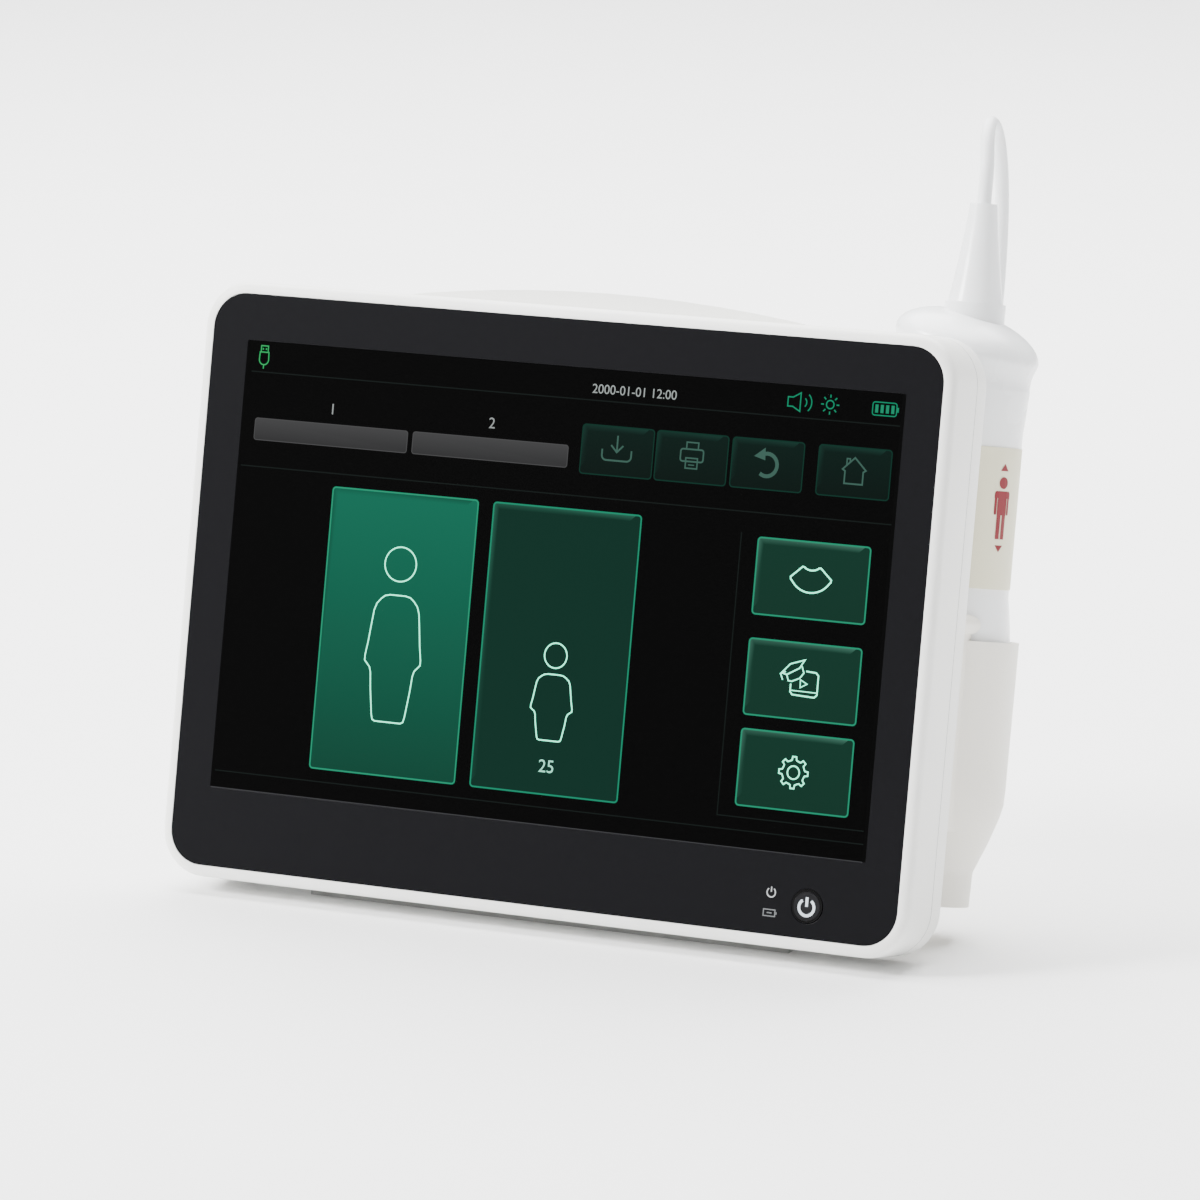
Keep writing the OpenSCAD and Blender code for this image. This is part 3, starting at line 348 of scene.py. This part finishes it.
dress(case_white, "front_bezel", "rear_shell", "battery_door")
dress(holster_white, "holster_cup", "stand_leg")
dress(probe_white, "probe_handle", "probe_shoulder", "probe_collar", "probe_relief")
dress(dome_grey, "probe_head")
dress(foot_rubber, "foot_strip", "stand_foot", "head_seal")
dress(foam_black, "display_gasket")
dress(picture_black, "lcd_panel")
dress(cast_metal, "chassis")
dress(screw_steel, "chassis_screws", "board_screws", "case_screws", "door_screws", "holster_screws",
      "stand_pin")
dress(board_green, "main_board", "button_board", "port_board", "probe_board")
dress(battery_blue, "battery_pack")
dress(insert_brass, "wall_mount_inserts", "transducer")
dress(port_metal, "usb_port", "probe_socket")
dress(dark_plastic, "power_inlet", "speaker", "transducer_mount")
# The button ring takes the near-black tone that paints the shade of the gap round the cap.
dress(ring_and_gap_shade, "button_ring")
dress(cap_black, "power_cap")
dress(plug_grey, "probe_plug")
dress(relief_rubber, "plug_relief")
dress(label_cream, "probe_label")
dress(clear_plastic, "light_pipes")
print("dressed", sum(1 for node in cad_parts.values() if node.material_slots), "nodes")
probe_cable.data.materials.append(cable_white)

# %% [markdown]
# The cover glass is one sheet, printed black behind all round the picture and bonded to
# the display inside that border. Clear glass over a lit picture could be modelled as a
# see-through pane, but a bonded pane shows no gap, only gloss. So two pieces stand for the
# sheet: the charcoal border, and the much blacker glass that the picture shines through.

# %% The printed border of the glass
GLASS_W, GLASS_H, GLASS_Z, GLASS_R, GLASS_T = 241.4, 173.3, -4.95, 10.5, 1.1
PICTURE_W, PICTURE_H, PICTURE_R, WINDOW_GAP = 217.0, 135.6, 0.4, 0.04
BUTTON_X, BUTTON_Z, BUTTON_HOLE_R = 92.2, -82.25, 5.05


def round_rect(width, height, radius, x=0.0, z=0.0, steps=10):
    """The outline of a rectangle with round corners, anticlockwise, in millimetres."""
    outline = []
    for corner, (sx, sz) in enumerate(((1, 1), (-1, 1), (-1, -1), (1, -1))):
        cx, cz = x + sx * (width / 2 - radius), z + sz * (height / 2 - radius)
        for i in range(steps + 1):
            a = math.pi / 2 * (corner + i / steps)
            outline.append((cx + radius * math.cos(a), cz + radius * math.sin(a)))
    return outline


def ring_points(x, z, radius, count):
    """Points of a circle, anticlockwise."""
    return [(x + radius * math.cos(2 * math.pi * i / count), z + radius * math.sin(2 * math.pi * i / count))
            for i in range(count)]


def plate(name, outlines, front, back, bevel=0.0):
    """A plate between two depths with holes: the first outline is outside, the rest are holes."""
    curve = bpy.data.curves.new(name, "CURVE")
    curve.dimensions = "2D"
    curve.fill_mode = "BOTH"
    curve.extrude = (back - front) / 2
    curve.bevel_depth = bevel
    curve.bevel_resolution = 2
    curve.offset = -bevel
    curve.extrude -= bevel
    for outline in outlines:
        spline = curve.splines.new("POLY")
        spline.points.add(len(outline) - 1)
        spline.use_cyclic_u = True
        for point, (x, z) in zip(spline.points, outline):
            point.co = (x, z, 0, 1)
    shape = bpy.data.objects.new(name, curve)
    bpy.context.collection.objects.link(shape)
    bpy.context.view_layer.update()
    mesh = bpy.data.meshes.new_from_object(shape)
    bpy.data.objects.remove(shape)
    places = [upright(v.co.x, (front + back) / 2 - v.co.z, v.co.y) for v in mesh.vertices]
    for vertex, place in zip(mesh.vertices, places):
        vertex.co = place
    mesh.update()
    piece = bpy.data.objects.new(name, mesh)
    bpy.context.collection.objects.link(piece)
    return piece


glass_border = plate("glass_border", [
    round_rect(GLASS_W, GLASS_H, GLASS_R, z=GLASS_Z),
    round_rect(PICTURE_W, PICTURE_H, PICTURE_R),
    ring_points(BUTTON_X, BUTTON_Z, BUTTON_HOLE_R, 64)], 0, GLASS_T, bevel=0.15)
glass_border.data.materials.append(border_black)
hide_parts("cover_glass")
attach(glass_border, "console")
print("border", len(glass_border.data.polygons), "faces")

# %% The black glass over the display
window_black = finish("window_black", (6, 6, 6), (5, 5, 5), (0.12, 0.16), 1500, 0.0, drift_scale=2,
                      specular=0.015)
glass_window = plate("glass_window", [round_rect(PICTURE_W - WINDOW_GAP, PICTURE_H - WINDOW_GAP, PICTURE_R)],
                     0, GLASS_T)
glass_window.data.materials.append(window_black)
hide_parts("cover_glass")
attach(glass_window, "console")
print("window", len(glass_window.data.polygons), "faces")

# %% [markdown]
# Bezel and rear shell meet 16 mm behind the glass. A thin grey tube lies in the groove
# there as painted shade, so the parting line shows as a fine dark line all round the case.

# %% Painted shade in the parting line
RIM, SHADE_LINE_R, SHADE_LINE_D = 3.7, 0.18, 16.2
shade_line_out = RIM - SHADE_LINE_R
shade_line_outline = round_rect(GLASS_W + 2 * shade_line_out, GLASS_H + 2 * shade_line_out, GLASS_R + shade_line_out, z=GLASS_Z)
shade_line_path = [upright(x, SHADE_LINE_D, z) for x, z in shade_line_outline + shade_line_outline[:1]]
parting_shade_line = tube("parting_shade_line", shade_line_path, SHADE_LINE_R / 1000, 8)
# The grey of this tube is painted shade: it stands for the shadow in the parting groove.
groove_shade_grey = finish("groove_shade_grey", (120, 120, 118), (108, 108, 106), (0.6, 0.7), 1500, 0.1)
parting_shade_line.data.materials.append(groove_shade_grey)
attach(parting_shade_line, "console")
print("parting seal", len(parting_shade_line.data.polygons), "faces")

# %% [markdown]
# The picture on the display is drawn, not photographed: tiles, lines and small pictures,
# each a flat shape a hundredth of a millimetre above the last, right on the bonded glass.
# Every shape carries its colours in a colour attribute, which the material lets glow, as a
# real display does. Places were measured 2 mm behind the glass, where the display is, so
# the drawing is moved sideways to stand where the camera sees it.

# %% Tools for drawing the picture
LAYER = 0.012
FACE, SHINE, SIGN, ICON = 1, 2, 3, 4
PICTURE_SHIFT = (0.99, 0.06)


class Drawing:
    """Flat coloured shapes on the panel that become one mesh."""

    def __init__(self, name, depth, shift=(0, 0)):
        self.name, self.depth, self.shift = name, depth, shift
        self.points, self.faces, self.colours = [], [], []

    def shape(self, outline, colours, layer=0):
        """Adds a filled outline. Its colours are one colour, or one for each point."""
        start = len(self.points)
        self.points += [upright(x + self.shift[0], self.depth - layer * LAYER, z + self.shift[1])
                        for x, z in outline]
        self.faces.append(tuple(range(start, start + len(outline))))
        self.colours += colours if isinstance(colours, list) else [colours] * len(outline)

    def line(self, path, width, colour, layer=1, closed=False):
        """Adds a line of one width along a path, its corners mitred."""
        count = len(path)
        left, right = [], []
        for i, (x, z) in enumerate(path):
            before = path[i - 1] if closed or i else path[0]
            after = path[(i + 1) % count] if closed or i < count - 1 else path[-1]
            ax, az = x - before[0], z - before[1]
            bx, bz = after[0] - x, after[1] - z
            la, lb = math.hypot(ax, az) or 1, math.hypot(bx, bz) or 1
            nx, nz = -(az / la + bz / lb), ax / la + bx / lb
            ln = math.hypot(nx, nz) or 1
            nx, nz = nx / ln, nz / ln
            both = (ax or az) and (bx or bz)
            spread = 1 / max(0.35, abs(nx * -az / la + nz * ax / la)) if both else 1
            left.append((x + nx * width / 2 * spread, z + nz * width / 2 * spread))
            right.append((x - nx * width / 2 * spread, z - nz * width / 2 * spread))
        for i in range(count if closed else count - 1):
            k = (i + 1) % count
            self.shape([left[i], right[i], right[k], left[k]], colour, layer)

    def piece(self, material):
        """The finished object, with its colours on its points."""
        made = new_piece(self.name, self.points, self.faces)
        attribute = made.data.color_attributes.new("tint", "FLOAT_COLOR", "POINT")
        for i, colour in enumerate(self.colours):
            attribute.data[i].color = colour
        made.data.materials.append(material)
        return made


def tinted(name, socket, roughness, specular=0.5):
    """A material that takes its colour attribute into one of its shader's sockets."""
    material = bpy.data.materials.new(name)
    material.use_nodes = True
    nodes, links = material.node_tree.nodes, material.node_tree.links
    shader = nodes["Principled BSDF"]
    tint = nodes.new("ShaderNodeAttribute")
    tint.attribute_name = "tint"
    shader.inputs["Base Color"].default_value = (0, 0, 0, 1)
    shader.inputs["Roughness"].default_value = roughness
    shader.inputs["Specular IOR Level"].default_value = specular
    links.new(tint.outputs["Color"], shader.inputs[socket])
    return material


def box(x0, z0, x1, z1):
    """A rectangle's outline, anticlockwise from its lower left."""
    return [(x0, z0), (x1, z0), (x1, z1), (x0, z1)]


def oval(x, z, rx, rz, count=40, start=0.0, turn=360.0):
    """Points of an oval or of a part of one, from a start angle over a turn in degrees."""
    full = turn == 360.0
    steps = count if full else count - 1
    return [(x + rx * math.cos(math.radians(start + turn * i / steps)),
             z + rz * math.sin(math.radians(start + turn * i / steps))) for i in range(count)]


lit_picture = Drawing("lit_picture", 0, PICTURE_SHIFT)
print("drawing on the glass, layers", LAYER, "mm apart")

# %% [markdown]
# The tiles come first. A tile has round corners, a face that fades from top to bottom, a
# soft shine that fades inwards from its top and left edges, as if it were raised, and a
# thin bright border. The chosen tile is pressed: it has a shade there instead of a shine.

# %% Tiles, fields and lines
MINT = (0.55, 3.1, 1.95, 1)
DIM_MINT = linear(66, 104, 92)
TILE_R, FIELD_Z = 1.0, 41.225


def between(low, high, share):
    """A colour part of the way from one to another."""
    return tuple(a + (b - a) * share for a, b in zip(low, high))


def tile(x0, z0, x1, z1, top, bottom, edge, shine, line_w=0.5, depth=1.9):
    """A raised or pressed tile with a fading face, a soft inner edge and a border."""
    def face(z):
        return between(bottom, top, (z - z0) / (z1 - z0))

    outline = round_rect(x1 - x0, z1 - z0, TILE_R, (x0 + x1) / 2, (z0 + z1) / 2, 4)
    lit_picture.shape(outline, [face(z) for x, z in outline], FACE)
    h = line_w / 2
    outer = [(x0 + h, z0 + depth), (x0 + h, z1 - h - 0.5), (x0 + h + 0.5, z1 - h), (x1 - depth, z1 - h)]
    inner = [(x0 + depth, z0 + 2 * depth), (x0 + depth, z1 - depth), (x0 + depth, z1 - depth),
             (x1 - 2 * depth, z1 - depth)]
    shares = (0.2, 0.8, 0.6, 1)
    for i, (a, b, c, d) in enumerate(zip(outer, outer[1:], inner[1:], inner)):
        tints = [between(face(a[1]), shine, shares[i]), between(face(b[1]), shine, shares[i + 1])]
        lit_picture.shape([a, b, c, d], tints + [face(c[1]), face(d[1])], SHINE)
    lit_picture.line(outline, line_w, edge, SIGN, closed=True)


tile(-76.0, -58.65, -26.8, 25.86, linear(20, 116, 89), linear(15, 78, 59), linear(33, 160, 118),
     linear(18, 92, 70))
tile(-21.5, -58.7, 27.3, 25.8, linear(15, 55, 43), linear(15, 56, 44), linear(27, 150, 112),
     linear(44, 104, 84))
for x0, z0, x1, z1 in ((65.6, 0.55, 101.5, 22.8), (65.6, -28.75, 101.5, -6.6), (65.6, -55.3, 101.5, -33.0)):
    tile(x0, z0, x1, z1, linear(20, 62, 48), linear(20, 60, 46), linear(34, 156, 116), linear(66, 116, 98))
for x0, x1 in ((5.7, 29.2), (30.2, 53.4), (54.8, 77.8), (82.5, 105.6)):
    tile(x0, 36.7, x1, 51.2, linear(12, 36, 30), linear(9, 27, 22), linear(14, 58, 46), linear(26, 62, 52),
         0.4)
for x0, x1 in ((-104.7, -52.4), (-50.6, 1.4)):
    field = round_rect(x1 - x0, 6.55, 0.8, (x0 + x1) / 2, FIELD_Z, 4)
    tints = [linear(72, 72, 73) if z > FIELD_Z else linear(56, 56, 57) for x, z in field]
    lit_picture.shape(field, tints, FACE)
    lit_picture.line(field, 0.25, linear(80, 80, 81), SHINE, closed=True)
for path in ([(-107.5, 58.4), (108.4, 58.4)], [(-108.4, 29.9), (108.4, 29.9)],
             [(-108.4, -62.6), (108.4, -62.6)], [(60, 23.8), (60, -58.8), (107, -58.8)]):
    lit_picture.line(path, 0.35, linear(24, 32, 30), FACE)
lit_picture.shape(box(107.3, -67.7, 108.4, 67.7), linear(3, 3, 3), SHINE)
lit_picture.shape(box(-109.4, -67.86, 107.4, -67.6), linear(70, 71, 74), SHINE)
print("tiles drawn,", len(lit_picture.faces), "shapes")

# %% [markdown]
# The small pictures are plain line work, worked out from circles and straight lines: a
# figure for the patient, a fan for the scan, a cap and a tablet for training, a wheel for
# settings. The words of the real screen are left out; a few plain numbers take their place.

# %% The two figures
def figure(x, head_z, head_rx, head_rz, top, bottom, half_w, width):
    """A standing figure in outline: a head, round shoulders, arms held close and legs."""
    lit_picture.line(oval(x, head_z, head_rx, head_rz), width, MINT, ICON, closed=True)
    tall = top - bottom
    side = [(0.27, 1.0), (0.45, 0.99), (0.58, 0.965), (0.72, 0.925), (0.8, 0.87), (0.85, 0.77),
            (0.92, 0.62), (0.99, 0.51), (0.99, 0.47), (0.8, 0.42), (0.75, 0.38), (0.7, 0.25), (0.59, 0.05),
            (0.55, 0.012), (0.46, 0)]
    right = [(x + s * half_w, bottom + t * tall) for s, t in side]
    left = [(x - s * half_w, bottom + t * tall) for s, t in reversed(side)]
    lit_picture.line(right + left, width, MINT, ICON, closed=True)


figure(-51.0, 4.7, 5.3, 5.15, -4.6, -42.6, 9.5, 0.42)
figure(3.2, -17.6, 3.7, 3.7, -23.2, -42.8, 6.9, 0.42)
print("figures drawn")

# %% The tools on the right
def arc(x, z, radius, start, turn, count=18):
    """Part of a circle."""
    return oval(x, z, radius, radius, count, start, turn)


FAN_X, FAN_Z = 83.4, 11.9
fan = [(FAN_X - 6.5, FAN_Z + 0.4), (FAN_X - 6.4, FAN_Z - 0.3)] + arc(FAN_X, FAN_Z + 3.5, 7.3, 214, 112)
fan += [(FAN_X + x, FAN_Z + z) for x, z in ((6.4, -0.3), (6.5, 0.4), (2.9, 3.6), (2.3, 3.5))]
fan += arc(FAN_X, FAN_Z + 6.6, 3.9, -58, -64) + [(FAN_X - 2.3, FAN_Z + 3.5), (FAN_X - 2.9, FAN_Z + 3.6)]
lit_picture.line(fan, 0.48, MINT, ICON, closed=True)

CAP_BOARD = [(76.7, -15.7), (79.3, -12.9), (83.8, -11.4), (82.3, -13.9), (78.4, -16.1)]
CAP_BODY = [(78.4, -16.1), (79.0, -17.8), (80.2, -17.9), (82.6, -16.8), (83.8, -15.2), (83.0, -13.2)]
TASSEL = [(78.0, -15.2), (76.4, -16.0), (77.2, -17.7)]
TABLET = [(79.9, -18.6), (79.9, -20.9), (80.6, -21.7), (87.7, -22.0), (88.5, -21.2), (88.5, -15.6),
          (87.7, -14.8), (84.5, -14.6)]
for path, width, closed in ((CAP_BOARD, 0.4, True), (CAP_BODY, 0.4, False), (TASSEL, 0.4, False),
                            (TABLET, 0.45, False), ([(80.1, -20.5), (88.3, -20.6)], 0.3, False),
                            ([(82.9, -17.2), (85.1, -18.3), (83.0, -19.5)], 0.3, True)):
    lit_picture.line(path, width, MINT, ICON, closed)

GEAR_X, GEAR_Z, TEETH = 83.2, -44.2, 8
wheel = []
for i in range(TEETH):
    for turn, radius in ((-0.36, 3.6), (-0.25, 3.7), (-0.16, 4.65), (0.16, 4.65), (0.25, 3.7), (0.36, 3.6)):
        a = 2 * math.pi * (i + turn) / TEETH
        wheel.append((GEAR_X + radius * math.cos(a), GEAR_Z + radius * math.sin(a)))
lit_picture.line(wheel, 0.42, MINT, ICON, closed=True)
lit_picture.line(oval(GEAR_X, GEAR_Z, 1.9, 1.9), 0.42, MINT, ICON, closed=True)
print("tools drawn")

# %% The small pictures along the top
GREEN, TEAL = linear(40, 186, 100), linear(22, 150, 108)
tray = [(12.6, 44.4), (12.6, 42.6)] + arc(14.0, 42.6, 1.4, 180, 90, 5) + arc(20.8, 42.6, 1.4, 270, 90, 5)
printer_top = [(40.0, 46.5), (40.0, 48.5), (43.8, 48.5), (43.8, 46.5)]
house = [(90.4, 44.7), (94.1, 48.2), (97.8, 44.7), (97.0, 44.2), (97.0, 40.6), (91.2, 40.6), (91.2, 44.2)]
for path, width, closed in (
        (tray + [(22.2, 42.6), (22.2, 44.4)], 0.55, False), ([(17.4, 48.6), (17.4, 43.8)], 0.55, False),
        ([(15.4, 45.7), (17.4, 43.7), (19.4, 45.7)], 0.55, False),
        (round_rect(7.4, 3.6, 0.7, 41.9, 44.7, 3), 0.5, True), (printer_top, 0.45, True),
        (box(40.0, 40.9, 43.8, 43.9), 0.45, True), ([(40.9, 41.9), (42.9, 41.9)], 0.35, False),
        ([(40.9, 42.9), (42.9, 42.9)], 0.35, False), (arc(66.2, 43.9, 3.3, 232, 232), 1.15, False),
        (house, 0.5, True), ([(91.6, 46.0), (91.6, 47.8), (92.6, 47.8), (92.6, 46.9)], 0.45, False)):
    lit_picture.line(path, width, DIM_MINT, ICON, closed)
lit_picture.shape([(61.9, 46.2), (65.4, 48.9), (65.6, 45.2)], DIM_MINT, ICON)

plug = [(-105.0, 64.4)] + arc(-103.5, 62.2, 1.6, 180, 180) + [(-102.0, 64.4)]
for path, closed in ((plug, True), (box(-104.7, 64.4, -102.3, 66.3), True),
                     ([(-103.5, 60.6), (-103.5, 59.4)], False)):
    lit_picture.line(path, 0.4, GREEN, SIGN, closed)
for side in (-0.55, 0.55):
    lit_picture.shape(box(-103.75 + side, 65.1, -103.25 + side, 65.6), GREEN, SIGN)

horn = [(71.2, 61.5), (72.8, 61.5), (75.2, 60.2), (75.2, 65.6), (72.8, 64.2), (71.2, 64.2)]
SUN_X, SUN_Z, RAYS = 84.7, 62.9, 8
for path, width, closed in (
        (horn, 0.4, True), (arc(75.6, 62.9, 1.6, -48, 96), 0.38, False),
        (arc(75.6, 62.9, 3.2, -48, 96), 0.38, False), (oval(SUN_X, SUN_Z, 1.2, 1.2, 20), 0.4, True),
        (round_rect(7.6, 3.8, 0.7, 102.0, 62.9, 3), 0.35, True),
        ([(106.2, 62.2), (106.2, 63.6)], 0.55, False)):
    lit_picture.line(path, width, TEAL, SIGN, closed)
for i in range(RAYS):
    a = 2 * math.pi * i / RAYS
    ray = [(SUN_X + r * math.cos(a), SUN_Z + r * math.sin(a)) for r in (2.0, 2.9)]
    lit_picture.line(ray, 0.42, TEAL, SIGN)
for i in range(4):
    lit_picture.shape(box(99.0 + 1.7 * i, 61.7, 100.0 + 1.7 * i, 64.1), TEAL, SIGN)
print("small pictures drawn")

# %% Plain numbers on the picture
def numbers(text, x, z, size, colour):
    """Adds plain numbers to the picture, their middle at a place."""
    curve = bpy.data.curves.new("numbers", "FONT")
    curve.body = text
    curve.size = size
    curve.align_x = "CENTER"
    curve.align_y = "CENTER"
    letters = bpy.data.objects.new("numbers", curve)
    bpy.context.collection.objects.link(letters)
    bpy.context.view_layer.update()
    mesh = bpy.data.meshes.new_from_object(letters)
    bpy.data.objects.remove(letters)
    for face in mesh.polygons:
        outline = [(x + mesh.vertices[i].co.x, z + mesh.vertices[i].co.y) for i in face.vertices]
        lit_picture.shape(outline, colour, SIGN)


numbers("2000-01-01 12:00", 21.5, 61.7, 3.9, linear(176, 184, 182))
numbers("1", -78.5, 48.9, 4.6, linear(168, 174, 173))
numbers("2", -24.5, 48.9, 4.6, linear(168, 174, 173))
numbers("25", 3.2, -50.6, 5.4, (0.5, 1.5, 1.1, 1))
display_glow = tinted("display_glow", "Emission Color", 0.5, 0.02)
display_glow.node_tree.nodes["Principled BSDF"].inputs["Emission Strength"].default_value = 1
display_picture = lit_picture.piece(display_glow)
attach(display_picture, "console")
print("picture", len(display_picture.data.polygons), "faces")

# %% [markdown]
# Three marks are printed on the glass: a power sign on the round button, a small power
# sign and a battery sign beside their lamps. The button's own sign goes down with it.

# %% Printed marks on the glass and on the button
def printed(name, depth, body, colour, paths, width):
    """Thin printed lines on the front, riding on a body."""
    drawing = Drawing(name, depth)
    for path, closed in paths:
        drawing.line(path, width, colour, 0, closed)
    mark = drawing.piece(print_ink)
    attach(mark, body)
    return mark


def power_sign(x, z, radius):
    """The usual sign for power: an open ring and a bar."""
    return [(arc(x, z, radius, 125, 290, 30), False),
            ([(x, z + radius * 1.25), (x, z + radius * 0.1)], False)]


print_ink = tinted("print_ink", "Base Color", 0.45)
printed("button_sign", -0.33, "power_button", linear(196, 206, 214),
        power_sign(BUTTON_X, BUTTON_Z - 0.3, 2.4), 0.85)
printed("lamp_sign", -0.03, "console", linear(150, 152, 154),
        power_sign(80.5, -79.4, 1.35), 0.38)
printed("battery_sign", -0.03, "console", linear(92, 94, 96),
        [(box(78.5, -86.3, 82.2, -84.4), True), ([(82.6, -85.7), (82.6, -85.0)], False),
         ([(79.6, -85.35), (81.2, -85.35)], False)], 0.32)
print("marks printed")

# %% [markdown]
# A cream label is wrapped round the outer side of the grip. Its red picture shows a
# generic standing person between two arrow heads, which tells the user how to hold the
# probe. Each flat shape is bent round the grip by turning its width into an angle.

# %% The label's picture
GRIP_R, LABEL_GAP, LABEL_T, INK_GAP = 17.3, 0.03, 0.35, 0.12
LABEL_R, LABEL_Z = GRIP_R + LABEL_GAP + LABEL_T + INK_GAP, 34.1
LABEL_TURN = math.radians(20)
label_points, label_faces = [], []


def label_shape(outline):
    """Adds a filled outline of the label, in width and height from its middle."""
    start = len(label_points)
    for u, v in outline:
        a = u / LABEL_R - LABEL_TURN
        x, d = PROBE_X + LABEL_R * math.cos(a), PROBE_D + LABEL_R * math.sin(a)
        label_points.append(upright(x, d, LABEL_Z + v))
    label_faces.append(tuple(range(start, start + len(outline))))


ARROW_W, BODY_W, SLEEVE_W, ARM_W, LEG_W, LEG_GAP = 1.6, 1.85, 0.85, 0.45, 1.55, 0.25
SLEEVE_U, ARM_U, HIP_V = BODY_W + ARM_W, 2.55, 1.0
label_shape([(-ARROW_W, 14.0), (ARROW_W, 14.0), (0, 16.2)])
label_shape([(ARROW_W, -7.8), (-ARROW_W, -7.8), (0, -9.8)])
label_shape(oval(0, 10.5, 1.75, 1.75, 28))
label_shape([(-BODY_W, 8.1), (-BODY_W, HIP_V), (BODY_W, HIP_V), (BODY_W, 8.1)])
for side in (-1, 1):
    label_shape(oval(side * SLEEVE_U, 7.2, SLEEVE_W, 0.9, 12, 0, 180)
                + [(side * SLEEVE_U - SLEEVE_W, 6.0), (side * SLEEVE_U + SLEEVE_W, 6.0)])
    label_shape(box(side * ARM_U - ARM_W, 1.5, side * ARM_U + ARM_W, 7.2))
    label_shape(oval(side * ARM_U, 1.5, ARM_W, ARM_W, 10, 180, 180))
    leg_u = side * (LEG_GAP + LEG_W / 2)
    label_shape(box(leg_u - LEG_W / 2, -6.0, leg_u + LEG_W / 2, HIP_V))
label_picture = new_piece("label_picture", label_points, label_faces)
label_red = finish("label_red", (122, 8, 26), (114, 6, 22), (0.45, 0.52), 1700, 0.05)
label_picture.data.materials.append(label_red)
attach(label_picture, "probe")
print("label", len(label_faces), "shapes")

# %% [markdown]
# The stage is a plain pale floor, large enough that its far edge stays out of the picture.
# A wide soft light hangs over the floor behind the object and whitens the background. The
# key light stands at the upper left in front, as in the photograph, a weak one fills the
# right, and a pale surround lightens all the shadows.

# %% Floor and light
floor = new_piece("floor", [(-8, -8, 0), (8, -8, 0), (8, 8, 0), (-8, 8, 0)], [(0, 1, 2, 3)])
floor.data.materials.append(finish("floor_white", (250, 250, 250), (247, 247, 247), (0.6, 0.7), 200, 0.02))


def soft_light(name, place, aim, size, power):
    """A large soft light that hangs at a place and looks at an aim."""
    data = bpy.data.lights.new(name, "AREA")
    data.shape = "RECTANGLE"
    data.size, data.size_y = size
    data.energy = power
    lamp = bpy.data.objects.new(name, data)
    lamp.location = place
    lamp.rotation_euler = (Vector(aim) - Vector(place)).to_track_quat("-Z", "Y").to_euler()
    bpy.context.collection.objects.link(lamp)
    return lamp


soft_light("key_light", (-1.7, -1.4, 1.5), (0, 0, 0.1), (0.8, 0.6), 150)
soft_light("fill_light", (2.0, -1.2, 1.1), (0, 0, 0.1), (1.4, 1.0), 4)
soft_light("sky_light", (-0.6, 1.1, 2.0), (-0.6, 1.1, 0), (3.2, 3.0), 330)
surround = bpy.data.worlds.new("surround")
surround.use_nodes = True
surround.node_tree.nodes["Background"].inputs["Color"].default_value = (1, 1, 1, 1)
surround.node_tree.nodes["Background"].inputs["Strength"].default_value = 0.3
bpy.context.scene.world = surround
print("three lights and a pale surround")
